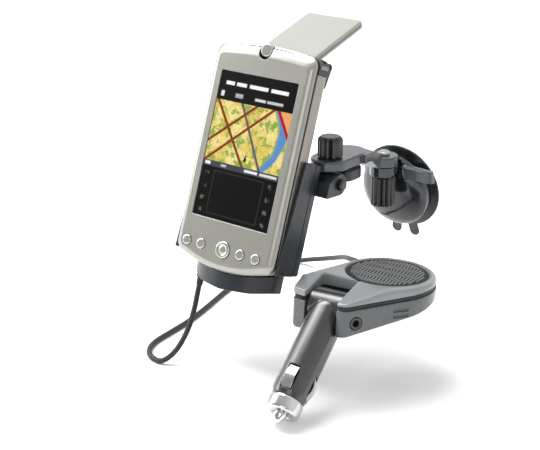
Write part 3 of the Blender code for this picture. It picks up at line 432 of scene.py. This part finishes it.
cord = {
    "length": 0.390, "diameter": 3.2, "steps": 6,
    "route": [
        (-64, -116, -45.7), (-64, -117.7, -50.4), (-62.5, -122.5, -58.5), (-61, -129.5, -67.5),
        (-62, -136.5, -76.5), (-65.5, -142, -83), (-71, -144.6, -85.9), (-79, -143, -85.9),
        (-86, -137, -85.9), (-90.5, -127, -85.9), (-92.5, -112, -85.9), (-95, -92, -85.9),
        (-100, -70, -85.9), (-106, -48, -85.9), (-111, -26, -85.9), (-113.5, -5, -85.9),
        (-112.5, 13, -85.9), (-108, 26, -85.9), (-100, 31, -84.8), (-90, 30, -81.3), (-78, 26, -76.6),
        (-66, 20, -71.2), (-54, 11, -65), (-42, -1, -58.1), (-30, -14, -51.4), (-18, -27, -45.3),
        (-6.3, -37.2, -40.6), (-1.6, -40.9, -39.8), (2.3, -43.9, -39.6), (5.2, -46.2, -39.4),
    ],
}


def smoothRoute(route, steps):
    route = [Vector(point) for point in route]
    route = [route[0] * 2 - route[1]] + route + [route[-1] * 2 - route[-2]]
    line = []
    for index in range(1, len(route) - 2):
        before, start, end, after = route[index - 1:index + 3]
        for step in range(steps):
            part = step / steps
            line.append(0.5 * (
                2 * start + (end - before) * part + (2 * before - 5 * start + 4 * end - after) * part ** 2
                + (3 * start - before - 3 * end + after) * part ** 3
            ))
    return line + [route[-2]]


curve = bpy.data.curves.new("powerLead", "CURVE")
curve.dimensions = "3D"
curve.bevel_depth = cord["diameter"] / 2 * mm
curve.bevel_resolution = 5
curve.use_fill_caps = True
cordLine = smoothRoute(cord["route"], cord["steps"])
spline = curve.splines.new("POLY")
spline.points.add(len(cordLine) - 1)
for point, at in zip(spline.points, cordLine):
    point.co = (*(at * mm), 1)
spline.use_smooth = True
powerLead = bpy.data.objects.new("powerLead", curve)
bpy.context.scene.collection.objects.link(powerLead)
dress(powerLead, cordRubber, "cradle", "power_cord", slot="cord")
print("cord laid")


# Handheld's front shell, with its rolled edge and its openings

shell = {
    "halfWidth": 35.5, "top": 65.0, "topArch": 2.2, "bottom": -58.4, "bottomArch": 5.1, "corner": 6.0,
    "faceDrop": 4.5, "depth": 3.4, "wall": 1.6, "faceThickness": 1.9,
    "window": (-27.65, 27.65, -35.5, 48.9), "buttonRow": -51.0, "buttonXs": (-27.2, -16.6, 12.4, 23.6),
    "buttonRadius": 3.1, "navRadius": 5.0, "gap": 0.3,
    "powerHeight": 64.0, "powerRadius": 4.4, "powerReach": 8, "powerRoom": 1.2,
    "dropLength": 14, "cut": (-4, 1),  # cut: heights between which the openings are made
    "roll": [  # height, inset, share of the drop at the top edge
        (-3.4, 0.0, 0.0), (-3.1, 0.02, 0.03), (-2.7, 0.12, 0.08), (-2.3, 0.28, 0.15), (-1.85, 0.55, 0.25),
        (-1.4, 0.92, 0.37), (-1.0, 1.35, 0.49), (-0.66, 1.85, 0.61), (-0.38, 2.4, 0.73), (-0.17, 3.0, 0.84),
        (-0.04, 3.6, 0.94), (0.0, 4.1, 1.0),
    ],
}


def shellOutline(inset, drop=0.0):
    # eleven points round each corner, and an arch along the top and the bottom
    wide, corner = shell["halfWidth"] - inset, shell["corner"] - inset * 0.5
    outline = []
    corners = (
        (1, shell["top"] - inset, 0), (-1, shell["top"] - inset, 90),
        (-1, shell["bottom"] + inset, 180), (1, shell["bottom"] + inset, 270),
    )
    for side, end, start in corners:
        upper = start < 180
        centre = (side * (wide - corner), end - corner if upper else end + corner)
        for step in range(11):
            turn = math.radians(start + 9 * step)
            outline.append((centre[0] + corner * math.cos(turn), centre[1] + corner * math.sin(turn)))
        if start in (0, 180):
            rise = shell["topArch"] if upper else -shell["bottomArch"]
            for step in range(1, 24):
                part = 1 - step / 12
                across = part * (wide - corner) * (1 if upper else -1)
                outline.append((across, end + rise * (1 - part * part)))
    start = shell["top"] - shell["dropLength"]
    return [(x, y - drop * max(0.0, (y - start) / (shell["top"] - start)) ** 1.5) for x, y in outline]


def makeFrontShell():
    rings = []
    for height, inset, share in shell["roll"]:
        rings.append([(x, y, height) for x, y in shellOutline(inset, shell["faceDrop"] * share)])
    piece = loft("frontCase", rings, handheldPlace)
    row, gap = shell["buttonRow"], shell["gap"]
    lowX, highX, lowY, highY = shell["window"]
    middle, reach, room = shell["powerHeight"], shell["powerReach"], shell["powerRoom"]
    power = circlePoints(0, middle, shell["powerRadius"])
    power = [(a, b + (reach if b > middle else -room)) for a, b in power]
    hollow, hollowTop = shellOutline(shell["wall"]), -shell["faceThickness"]
    cut = shell["cut"]
    cutters = [
        prism("hollow", hollow, -shell["depth"] - 1, hollowTop, handheldPlace),
        prism("window", roundedBox(lowX, highX, lowY, highY, 0.9), *cut, handheldPlace),
        prism("powerNotch", power, -6, 1, handheldPlace),
        prism("navHole", circlePoints(0, row, shell["navRadius"] + gap), *cut, handheldPlace),
    ]
    for x in shell["buttonXs"]:
        hole = circlePoints(x, row, shell["buttonRadius"] + gap, 40)
        cutters.append(prism("buttonHole", hole, *cut, handheldPlace))
    cutOut(piece, *cutters)
    easeEdges(piece, 0.3, 3, 40)
    dress(piece, champagne, "handheld", "front_shell", slot="shell_silver")


makeFrontShell()

cornerPlate = {
    "low": 57.2, "high": 61.8, "back": -13.4, "front": -6.6, "proud": 0.2, "deep": 0.4, "inner": 26.0,
}


def makeCornerPlates():
    # bright inlays in the sides of the hinge cheeks' caps
    def stretch(inset, side):
        return [
            (x, y) for x, y in shellOutline(inset)
            if cornerPlate["low"] <= y <= cornerPlate["high"] and x * side > cornerPlate["inner"]
        ]

    for side, end in ((-1, "Left"), (1, "Right")):
        outer, inner = stretch(-cornerPlate["proud"], side), stretch(cornerPlate["deep"], side)
        same = (outer[0][1] - outer[-1][1]) * (inner[0][1] - inner[-1][1]) > 0
        outline = outer + (inner[::-1] if same else inner)
        plate = prism(f"cornerPlate{end}", outline, cornerPlate["back"], cornerPlate["front"], handheldPlace)
        easeEdges(plate, 0.1, 2)
        dress(plate, rearPaint, "handheld", slot="shell_rear")


makeCornerPlates()


def makeButtons():
    for number, x in enumerate(shell["buttonXs"], 1):
        radius = shell["buttonRadius"]
        profile = [
            (0, -3.5), (radius + 0.8, -3.5), (radius + 0.8, -2.75), (radius, -2.7), (radius, 0.1),
            (radius - 0.12, 0.4), (radius - 0.4, 0.62), (radius - 0.9, 0.76), (radius - 1.6, 0.8),
            (radius - 2.2, 0.78), (0, 0.76),
        ]
        where = placed((x, shell["buttonRow"], 0), inside=handheldPlace)
        cap = lathe(f"appCap{number}", profile, where, 48, 50)
        dress(cap, pearl, f"app_{number}", f"app_button_{number}", slot="button_pearl")
    radius = shell["navRadius"]
    profile = [
        (0, -3.5), (radius + 0.8, -3.5), (radius + 0.8, -2.75), (radius, -2.7), (radius, 0.2),
        (radius - 0.15, 0.55), (radius - 0.5, 0.8), (radius - 1.1, 0.9), (radius - 1.8, 0.82),
        (radius - 2.4, 0.55), (radius - 2.6, 0.5), (radius - 2.8, 0.62), (radius - 3.6, 0.72), (0, 0.75),
    ]
    where = placed((0, shell["buttonRow"], 0), inside=handheldPlace)
    dress(lathe("navCap", profile, where, 64, 50), pearl, "nav", "nav_button", slot="button_pearl")


makeButtons()
print("front case and buttons made")


# Display, drawn on the piece's own UV map: u from left to right, v from bottom to top

display = {
    "statusLow": 0.345, "mapLow": 0.385, "bannerLow": 0.80, "glow": 0.1, "tallness": 1.53,
    "field": (0.46, 0.36, 0.085), "park": (0.17, 0.25, 0.045), "block": (0.54, 0.45, 0.17),
    "road": (0.13, 0.022, 0.007), "street": (0.17, 0.13, 0.03), "river": (0.065, 0.16, 0.35),
    "highway": (0.28, 0.004, 0.008), "shore": (0.50, 0.23, 0.08), "lane": (0.085, 0.06, 0.08),
    "dark": (0.002, 0.0018, 0.0015), "grey": (0.035, 0.035, 0.045), "pale": (0.60, 0.61, 0.63),
    "roads": [  # slope across, slope up, offset, width
        (0.80, 0.60, 0.76, 0.019), (-0.63, 0.78, 0.61, 0.018), (-0.645, 0.765, 0.44, 0.018),
    ],
    "streets": [(38, 0.11, 0.06), (-40, 0.13, 0.06)],  # angle, pitch, width
    "arrow": {"across": 0.53, "low": 0.425, "tip": 0.475, "taper": 0.42},
    "pad": [(0.17, 0.83, 0.03, 0.325), (0.18, 0.82, 0.037, 0.318)],  # outer and inner edges of its outline
    "bars": [  # plain bars in place of lettering: low, high, left, right, strength
        (0.908, 0.932, 0.09, 0.20, 1.0), (0.908, 0.932, 0.23, 0.36, 1.0), (0.908, 0.932, 0.40, 0.64, 1.0),
        (0.908, 0.932, 0.68, 0.90, 1.0), (0.826, 0.862, 0.05, 0.09, 0.9), (0.830, 0.858, 0.24, 0.34, 0.45),
        (0.832, 0.850, 0.50, 0.64, 0.7), (0.832, 0.850, 0.66, 0.86, 0.6), (0.355, 0.376, 0.03, 0.10, 0.9),
        (0.357, 0.373, 0.24, 0.31, 0.5), (0.357, 0.374, 0.55, 0.72, 0.9), (0.357, 0.374, 0.75, 0.97, 0.75),
    ],
}


def band(tree, value, low, high, soft=0.004):
    rising = ranged(tree, value, low - soft, low + soft)
    falling = ranged(tree, value, high - soft, high + soft, 1.0, 0.0)
    return calc(tree, "MULTIPLY", rising, falling)


def boxed(tree, u, v, left, right, low, high):
    return calc(tree, "MULTIPLY", band(tree, u, left, right), band(tree, v, low, high))


def slanted(tree, u, v, slopeU, slopeV):
    return calc(tree, "ADD", calc(tree, "MULTIPLY", u, slopeU), calc(tree, "MULTIPLY", v, slopeV))


def lineAt(tree, u, v, slopeU, slopeV, offset, width):
    away = calc(tree, "ABSOLUTE", calc(tree, "SUBTRACT", slanted(tree, u, v, slopeU, slopeV), offset))
    return ranged(tree, away, width * 0.6, width, 1.0, 0.0)


def streets(tree, u, v, angle, pitch, width):
    across = slanted(tree, u, v, math.cos(math.radians(angle)), math.sin(math.radians(angle)))
    saw = calc(tree, "FRACT", calc(tree, "DIVIDE", across, pitch))
    away = calc(tree, "ABSOLUTE", calc(tree, "SUBTRACT", saw, 0.5))
    return ranged(tree, away, width * 0.6, width, 1.0, 0.0)


def plainBars(tree, u, v, spot):
    total = 0.0
    broken = ranged(tree, noisy(tree, spot, 90.0, 1.0, 0.4), 0.30, 0.46, 0.45, 1.0)
    for low, high, left, right, strength in display["bars"]:
        bar = calc(tree, "MULTIPLY", band(tree, v, low, high), band(tree, u, left, right, 0.008))
        total = calc(tree, "MAXIMUM", total, calc(tree, "MULTIPLY", bar, strength))
    return calc(tree, "MULTIPLY", total, broken)


def displayMaterial():
    material = bpy.data.materials.new("litDisplay")
    material.use_nodes = True
    tree = material.node_tree
    shader = tree.nodes["Principled BSDF"]
    split = tree.nodes.new("ShaderNodeSeparateXYZ")
    uvMap = tree.nodes.new("ShaderNodeUVMap")
    uvMap.uv_map = "face"
    tree.links.new(uvMap.outputs[0], split.inputs[0])
    u, v = split.outputs[0], split.outputs[1]
    tall = calc(tree, "MULTIPLY", v, display["tallness"])  # the same length each way
    where = tree.nodes.new("ShaderNodeCombineXYZ")
    link(tree, u, where.inputs[0])
    link(tree, tall, where.inputs[1])
    spot = where.outputs[0]

    cells = tree.nodes.new("ShaderNodeTexVoronoi")
    cells.inputs["Scale"].default_value = 7.0
    cells.inputs["Randomness"].default_value = 0.9
    tree.links.new(spot, cells.inputs["Vector"])
    tint = tree.nodes.new("ShaderNodeSeparateColor")
    tree.links.new(cells.outputs["Color"], tint.inputs[0])
    chart = mixed(tree, ranged(tree, tint.outputs[0], 0.45, 0.55), display["field"], display["block"])
    chart = mixed(tree, ranged(tree, noisy(tree, spot, 9.0, 3.0, 0.7), 0.50, 0.58), chart, display["park"])
    speckle = ranged(tree, noisy(tree, spot, 55.0, 2.0, 0.6), 0.54, 0.66)
    chart = mixed(tree, calc(tree, "MULTIPLY", speckle, 0.4), chart, display["street"])
    small = calc(tree, "MAXIMUM", *(streets(tree, u, tall, *street) for street in display["streets"]))
    chart = mixed(tree, calc(tree, "MULTIPLY", small, 0.3), chart, display["street"])
    bow = calc(tree, "SUBTRACT", tall, 0.95)
    bent = calc(tree, "MULTIPLY_ADD", calc(tree, "MULTIPLY", bow, bow), 1.5, u)
    ripple = calc(tree, "MULTIPLY", calc(tree, "SUBTRACT", noisy(tree, spot, 6.0, 2.0, 0.5), 0.5), 0.06)
    shore = calc(tree, "ADD", bent, ripple)
    chart = mixed(tree, lineAt(tree, shore, tall, 1.0, 0.0, 0.885, 0.012), chart, display["park"])
    chart = mixed(tree, band(tree, shore, 0.895, 0.985, 0.01), chart, display["river"])
    beyond = slanted(tree, u, tall, 0.82, 0.57)
    chart = mixed(tree, ranged(tree, beyond, 1.39, 1.40), chart, display["shore"])
    curved = calc(tree, "MULTIPLY_ADD", calc(tree, "SUBTRACT", 1.21, tall), -0.60, u)
    chart = mixed(tree, lineAt(tree, curved, tall, 1.0, 0.0, 0.36, 0.021), chart, display["lane"])
    roads = 0.0
    for road in display["roads"]:
        roads = calc(tree, "MAXIMUM", roads, lineAt(tree, u, tall, *road))
    chart = mixed(tree, roads, chart, display["road"])
    chart = mixed(tree, lineAt(tree, u, tall, 0.82, 0.57, 1.375, 0.022), chart, display["highway"])
    pointer = display["arrow"]
    acrossArrow = calc(tree, "ABSOLUTE", calc(tree, "SUBTRACT", u, pointer["across"]))
    taper = calc(tree, "MULTIPLY", calc(tree, "SUBTRACT", pointer["tip"], v), pointer["taper"])
    arrowHeight = band(tree, v, pointer["low"], pointer["tip"], 0.002)
    arrow = calc(tree, "MULTIPLY", calc(tree, "LESS_THAN", acrossArrow, taper), arrowHeight)
    chart = mixed(tree, arrow, chart, display["dark"])

    low, middle, high = display["statusLow"], display["mapLow"], display["bannerLow"]
    marks = plainBars(tree, u, v, spot)
    banner = mixed(tree, marks, display["dark"], display["pale"])
    status = mixed(tree, marks, display["grey"], display["pale"])
    outline, inner = (boxed(tree, u, v, *edges) for edges in display["pad"])
    faint = calc(tree, "MULTIPLY", calc(tree, "SUBTRACT", outline, inner), 0.03)
    lower = mixed(tree, faint, display["dark"], display["pale"])
    sides = calc(tree, "MAXIMUM", band(tree, u, 0.055, 0.105), band(tree, u, 0.885, 0.935))
    row = calc(tree, "FRACT", calc(tree, "DIVIDE", v, 0.085))
    icons = calc(tree, "MULTIPLY", sides, band(tree, row, 0.34, 0.66, 0.08))
    icons = calc(tree, "MULTIPLY", icons, band(tree, v, 0.02, 0.33))
    iconShape = ranged(tree, noisy(tree, spot, 22.0, 1.0, 0.4), 0.40, 0.60)
    icons = calc(tree, "MULTIPLY", calc(tree, "MULTIPLY", icons, iconShape), 0.12)
    lower = mixed(tree, icons, lower, display["pale"])
    picture = mixed(tree, ranged(tree, v, low - 0.001, low + 0.001), lower, status)
    picture = mixed(tree, ranged(tree, v, middle - 0.001, middle + 0.001), picture, chart)
    picture = mixed(tree, ranged(tree, v, high - 0.001, high + 0.001), picture, banner)
    tree.links.new(picture, shader.inputs["Base Color"])
    tree.links.new(picture, shader.inputs["Emission Color"])
    shader.inputs["Emission Strength"].default_value = display["glow"]
    object3d = tree.nodes.new("ShaderNodeTexCoord").outputs["Object"]
    smear = placeGroup(tree, effects["handling"], Where=object3d, Roughness=0.3, Spread=0.08)["Roughness"]
    shader.inputs["Specular IOR Level"].default_value = 0.12
    tree.links.new(smear, shader.inputs["Roughness"])
    return material


def makeDisplay():
    gap = shell["gap"]
    lowX, highX, lowY, highY = shell["window"]
    outline = roundedBox(lowX + gap, highX - gap, lowY + gap, highY - gap, 0.6)
    piece = prism("displayFace", outline, -1.7, -0.4, handheldPlace)
    easeEdges(piece, 0.15, 2)
    layer = piece.data.uv_layers.new(name="face")
    back = handheldPlace.inverted()
    for loop in piece.data.loops:
        at = back @ (piece.data.vertices[loop.vertex_index].co / mm)
        layer.data[loop.index].uv = ((at.x - lowX) / (highX - lowX), (at.y - lowY) / (highY - lowY))
    dress(piece, displayMaterial(), "handheld", "screen_lens", slot="screen")


makeDisplay()
print("display made")


# Hand knobs with rounded flutes

knobSizes = {
    "swivelGrip": {"low": 32.8, "high": 45.0, "radius": 7.2, "flutes": 10, "deep": 1.5, "dome": 2.6},
    "pivotGrip": {"low": -4.5, "high": 13.9, "radius": 7.2, "flutes": 14, "deep": 1.1, "dome": 1.2},
}


def makeKnob(name, where, core):
    size = knobSizes[name]
    rings = []
    dome = size["dome"]
    levels = [(size["low"], 0.7), (size["low"] + 0.25, 0.2), (size["low"] + 0.7, 0.0)]
    for step in range(9):
        turn = math.radians(90 * step / 8)
        levels.append((size["high"] - dome + dome * math.sin(turn), 2.4 * (1 - math.cos(turn))))
    for height, inset in levels:
        ring = []
        for step in range(size["flutes"] * 10):
            turn = math.tau * step / (size["flutes"] * 10)
            wave = 0.5 - 0.5 * math.cos(size["flutes"] * turn)
            fade = max(0.0, 1 - inset / 2.4)
            reach = size["radius"] - inset - size["deep"] * fade * wave ** 2.2
            ring.append((reach * math.cos(turn), reach * math.sin(turn), height))
        rings.append(ring)
    piece = loft(name, rings, where, 50)
    cutOut(piece, prism("insert", circlePoints(0, 0, 2.3, 24), *core, where))
    easeEdges(piece, 0)
    return piece


swivelGrip = makeKnob("swivelGrip", swivelPlace, (20, 39.3))
dress(swivelGrip, knobBlack, "upper_knob", "swivel_knob", slot="knob_black")
pivotGrip = makeKnob("pivotGrip", pivotPlace, (4.0, 30))
dress(pivotGrip, knobBlack, "lower_knob", "ribbed_knob", slot="knob_black")
print("knobs made")


# Speaker grille: a slightly domed disc with wavy ribs across it, laid by Geometry Nodes

grille = {
    "at": (22.1, 34.1), "radius": 23.0, "low": 8.5, "face": 9.7, "ribs": 21, "ribRadius": 0.62, "wave": 0.45,
    "waves": 4.6, "points": 44, "rim": 2.2, "dome": 0.55, "lift": 0.15,
}


def ribTree():
    tree = bpy.data.node_groups.new("grilleRibs", "GeometryNodeTree")
    face = tree.interface
    face.new_socket("Geometry", in_out="INPUT", socket_type="NodeSocketGeometry")
    inputs = (
        ("Ribs", "Int"), ("Radius", "Float"), ("Rib Radius", "Float"), ("Wave", "Float"), ("Waves", "Float"),
        ("Points", "Int"), ("Finish", "Material"),
    )
    for name, kind in inputs:
        face.new_socket(name, in_out="INPUT", socket_type=f"NodeSocket{kind}")
    face.new_socket("Geometry", in_out="OUTPUT", socket_type="NodeSocketGeometry")
    given = tree.nodes.new("NodeGroupInput").outputs
    made = tree.nodes.new("NodeGroupOutput").inputs
    new, join = tree.nodes.new, tree.links.new
    reach = calc(tree, "MULTIPLY", given["Radius"], 0.97)
    gaps = calc(tree, "SUBTRACT", given["Ribs"], 1.0)
    pitch = calc(tree, "DIVIDE", calc(tree, "MULTIPLY", reach, 2.0), gaps)
    row = new("GeometryNodeMeshLine")
    join(given["Ribs"], row.inputs["Count"])
    start, offset = new("ShaderNodeCombineXYZ"), new("ShaderNodeCombineXYZ")
    join(calc(tree, "MULTIPLY", reach, -1.0), start.inputs[0])
    join(pitch, offset.inputs[0])
    join(start.outputs[0], row.inputs["Start Location"])
    join(offset.outputs[0], row.inputs["Offset"])
    line = new("GeometryNodeCurvePrimitiveLine")
    line.inputs["Start"].default_value = (0, -1, 0)
    line.inputs["End"].default_value = (0, 1, 0)
    place = new("ShaderNodeSeparateXYZ")
    join(new("GeometryNodeInputPosition").outputs[0], place.inputs[0])
    square = calc(tree, "SUBTRACT", calc(tree, "MULTIPLY", given["Radius"], given["Radius"]),
                  calc(tree, "MULTIPLY", place.outputs[0], place.outputs[0]))
    half = calc(tree, "SQRT", calc(tree, "MAXIMUM", square, 1e-8))
    scale = new("ShaderNodeCombineXYZ")
    scale.inputs[0].default_value = scale.inputs[2].default_value = 1.0
    join(half, scale.inputs[1])
    copies = new("GeometryNodeInstanceOnPoints")
    join(row.outputs[0], copies.inputs["Points"])
    join(line.outputs[0], copies.inputs["Instance"])
    join(scale.outputs[0], copies.inputs["Scale"])
    real = new("GeometryNodeRealizeInstances")
    join(copies.outputs[0], real.inputs[0])
    even = new("GeometryNodeResampleCurve")
    join(real.outputs[0], even.inputs["Curve"])
    join(given["Points"], even.inputs["Count"])
    along = new("ShaderNodeSeparateXYZ")
    join(new("GeometryNodeInputPosition").outputs[0], along.inputs[0])
    turns = calc(tree, "MULTIPLY", given["Waves"], math.pi)
    turn = calc(tree, "DIVIDE", calc(tree, "MULTIPLY", along.outputs[1], turns), given["Radius"])
    edge = calc(tree, "DIVIDE", calc(tree, "ABSOLUTE", along.outputs[0]), given["Radius"])
    calm = calc(tree, "SUBTRACT", 1.0, calc(tree, "POWER", edge, 3.0))
    sway = calc(tree, "MULTIPLY", calc(tree, "MULTIPLY", calc(tree, "SINE", turn), given["Wave"]), calm)
    moved = new("ShaderNodeCombineXYZ")
    join(sway, moved.inputs[0])
    bent = new("GeometryNodeSetPosition")
    join(even.outputs[0], bent.inputs["Geometry"])
    join(moved.outputs[0], bent.inputs["Offset"])
    section = new("GeometryNodeCurvePrimitiveCircle")
    section.inputs["Resolution"].default_value = 6
    join(given["Rib Radius"], section.inputs["Radius"])
    solid = new("GeometryNodeCurveToMesh")
    solid.inputs["Fill Caps"].default_value = True
    join(bent.outputs[0], solid.inputs["Curve"])
    join(section.outputs[0], solid.inputs["Profile Curve"])
    last = new("GeometryNodeRealizeInstances")
    join(solid.outputs[0], last.inputs[0])
    painted = new("GeometryNodeSetMaterial")
    join(last.outputs[0], painted.inputs["Geometry"])
    join(given["Finish"], painted.inputs["Material"])
    join(painted.outputs[0], made[0])
    return tree


def makeGrille():
    x, y = grille["at"]
    where = placed((x, y, 0), inside=adapterPlace)
    low, face, radius, dome = grille["low"], grille["face"], grille["radius"], grille["dome"]
    profile = [
        (0, low), (radius, low), (radius, face + 0.2), (radius - 0.25, face + 0.5),
        (radius - 0.7, face + 0.6), (radius - 1.3, face + 0.4), (radius - 1.9, face),
        (radius * 0.6, face + 0.35), (0, face + dome),
    ]
    plate = lathe("grillePlate", profile, where, 96, 40)
    # the plate under the ribs is painted near black as shade in the grooves
    dress(plate, groovePaintedShade, "cradle", "speaker_grille", slot="grille")
    ribs = bpy.data.objects.new("grilleRibs", bpy.data.meshes.new("grilleRibs"))
    bpy.context.scene.collection.objects.link(ribs)
    step = ribs.modifiers.new("ribs", "NODES")
    step.node_group = ribTree()
    values = {
        "Ribs": grille["ribs"], "Radius": radius - grille["rim"], "Rib Radius": grille["ribRadius"],
        "Wave": grille["wave"], "Waves": grille["waves"], "Points": grille["points"], "Finish": ribPlastic,
    }
    for socket in step.node_group.interface.items_tree:
        if socket.in_out == "INPUT" and socket.name in values:
            step[socket.identifier] = values[socket.name]
    applyModifiers(ribs)
    for vertex in ribs.data.vertices:
        away = min(1.0, math.hypot(vertex.co.x, vertex.co.y) / radius)
        height = face + dome * (1 - away * away) + grille["lift"]
        vertex.co = (where @ Vector((vertex.co.x, vertex.co.y, vertex.co.z + height))) * mm
    ribs.data.shade_smooth()
    dress(ribs, ribPlastic, "cradle", slot="grille")


makeGrille()
print("grille made")


# Plug's metal pieces, turned and bent finely. The lathe's axis is laid along the plug.

plugMetal = {
    "length": 59.5, "radius": 10.4, "nose": 8.0, "gap": 0.3, "bore": 4.2, "bow": 1.7, "face": 9.6,
    "thickness": 0.8, "halfWidth": 2.9, "start": 3.6, "reach": 12.8,
    "turns": (("Top", -85.0), ("Side", 15.0)),  # degrees round the plug
}
plugAxis = placed((0, 0, 0), ("X", 90), inside=plugPlace)  # height runs towards the tip


def makePlugMetal():
    radius, deep, low = plugMetal["radius"], plugMetal["nose"], plugMetal["length"] + plugMetal["gap"]
    profile = [
        (0, low), (radius - 1.25, low), (radius - 1.0, low + 0.15), (radius - 0.75, low + 0.8),
        (radius - 0.7, low + 1.5), (radius - 0.8, low + 4.0), (radius - 0.9, low + deep - 1.4),
        (radius - 1.15, low + deep - 0.6), (radius - 1.6, low + deep - 0.15), (radius - 2.1, low + deep),
        (0, low + deep),
    ]
    nose = lathe("plugRing", profile, plugAxis, 72, 45)
    cutOut(nose, prism("bore", circlePoints(0, 0, plugMetal["bore"], 40), low - 2, low + 12, plugAxis))
    easeEdges(nose, 0)
    dress(nose, nickel, "plug", "plug_nose", slot="nickel")
    profile = [
        (0, low - 6), (5.4, low - 6), (5.4, low - 4.6), (3.8, low - 4.6), (3.8, low + deep + 0.8),
        (3.65, low + deep + 1.3), (3.2, low + deep + 2.4), (2.5, low + deep + 3.8), (1.7, low + deep + 5.0),
        (1.0, low + deep + 5.5), (0, low + deep + 5.75),
    ]
    dress(lathe("plugPoint", profile, plugAxis, 48, 40), nickel, "tip", "plug_tip", slot="nickel")
    for end, turn in plugMetal["turns"]:
        outer, inner = [], []
        for step in range(25):
            part = step / 24
            out = plugMetal["face"] + plugMetal["bow"] * math.sin(math.pi * part)
            along = plugMetal["start"] - plugMetal["length"] + plugMetal["reach"] * part
            outer.append((out, along))
            inner.append((out - plugMetal["thickness"], along))
        where = placed((0, 0, 0), ("Y", turn), inside=plugPlace)
        wide = plugMetal["halfWidth"]
        spring = prism(f"plugSpring{end}", outer + inner[::-1], -wide, wide, where)
        easeEdges(spring, 0.2, 3, 40)
        ending = end.lower()
        dress(spring, nickel, f"contact_{ending}", f"plug_contact_{ending}", slot="nickel")


makePlugMetal()
print("plug metal made")


# The other visible pieces keep the CAD's shape, with eased edges and even shading

easedPieces = [  # name, CAD node, body, edge width in mm, material, slot
    ("rearCase", "rear_shell", "handheld", 0.3, rearPaint, "shell_rear"),
    ("middleBand", "mid_frame", "handheld", 0.0, seamBlack, "seam_dark"),
    ("powerCap", "power_button", "power", 0.2, pearl, "button_pearl"),
    ("stylusPen", "stylus", "stylus", 0.0, glossBlack, "stylus_black"),
    ("cheekLeft", "hinge_cheek_left", "handheld", 0.25, knobBlack, "stylus_black"),
    ("cheekRight", "hinge_cheek_right", "handheld", 0.25, knobBlack, "stylus_black"),
    ("hingePin", "aerial_pin", "handheld", 0.0, steel, "steel"),
    ("aerialLid", "aerial_cover", "aerial", 0.3, aerialPlastic, "aerial_grey"),
    ("aerialBack", "aerial_base", "aerial", 0.2, aerialPlastic, "aerial_grey"),
    ("trayBody", "cradle_tray", "cradle", 0.4, slate, "cradle_slate"),
    ("trayCover", "cradle_rear_cover", "cradle", 0.2, slate, "cradle_slate"),
    ("trayFoot", "cradle_foot", "cradle", 0.4, slate, "cradle_slate"),
    ("hingeBracket", "cradle_bracket", "cradle", 0.3, slate, "cradle_slate"),
    ("hingeBlock", "tilt_block", "tilt", 0.3, slate, "cradle_slate"),
    ("hingeBolt", "tilt_bolt", "cradle", 0.2, knobBlack, "steel"),
    ("coverScrewTop", "cover_screw_1", "cradle", 0.15, steel, "steel"),
    ("coverScrewLow", "cover_screw_2", "cradle", 0.15, steel, "steel"),
    ("cradleExit", "cradle_relief", "cradle", 0.15, cordRubber, "relief_rubber"),
    ("mountArm", "arm", "arm", 0.4, armSlate, "arm_slate"),
    ("swivelCore", "swivel_stud", "upper_knob", 0.0, steel, "steel"),
    ("pivotCore", "pivot_screw", "lower_knob", 0.2, steel, "steel"),
    ("cupSkirt", "suction_cup", "mount", 0.25, cupRubber, "cup_rubber"),
    ("cupHousing", "mount_housing", "mount", 0.3, housingBlack, "mount_slate"),
    ("cupLever", "release_lever", "lever", 0.5, leverGrey, "lever_grey"),
    ("cupLeverPin", "lever_pin", "mount", 0.0, steel, "steel"),
    ("adapterBase", "adapter_bottom", "cradle", 0.5, adapterPlastic, "adapter_grey"),
    # the deck wears the adapter plastic painted lighter, a painted sheen from above
    ("adapterDeck", "adapter_top", "cradle", 0.9, deckPaintedSheen, "adapter_grey"),
    ("adapterStrip", "adapter_band", "cradle", 0.0, seamBlack, "adapter_seam"),
    ("jackCollar", "jack_ring", "cradle", 0.15, glossBlack, "adapter_seam"),
    ("adapterExit", "adapter_relief", "cradle", 0.15, cordRubber, "relief_rubber"),
    ("foldPin", "plug_pin", "cradle", 0.0, steel, "steel"),
    ("plugBody", "plug_barrel", "plug", 0.35, plugBlack, "plug_black"),
]
for name, node, body, width, material, slotName in easedPieces:
    dress(easedCopy(name, node, width), material, body, node, slot=slotName)
print("outer pieces dressed:", len(easedPieces))


# Inner pieces keep their CAD meshes

innerPieces = {
    "lcd_module": innerGrey, "main_board": circuitGreen, "battery": glossBlack, "speaker": innerGrey,
    "dock_socket": seamBlack, "dock_plug": seamBlack, "patch_aerial": brass, "cradle_board": circuitGreen,
    "pull_rod": brass, "speaker_driver": knobBlack, "adapter_board": circuitGreen, "fuse": nickel,
}
for node, material in innerPieces.items():
    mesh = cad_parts[node].data
    mesh.materials.clear()
    mesh.materials.append(material)


def makeFloor():
    count = 96
    points = [(0, 0, 0)] + [(a, b, 0) for a, b in circlePoints(0, 0, studio["floorRadius"], count)]
    faces = [[0, 1 + step, 1 + (step + 1) % count] for step in range(count)]
    floor = meshPiece("floor", points, faces, placed((0, 0, studio["floorHeight"])))
    floor.data.materials.append(paleFloor)


makeFloor()
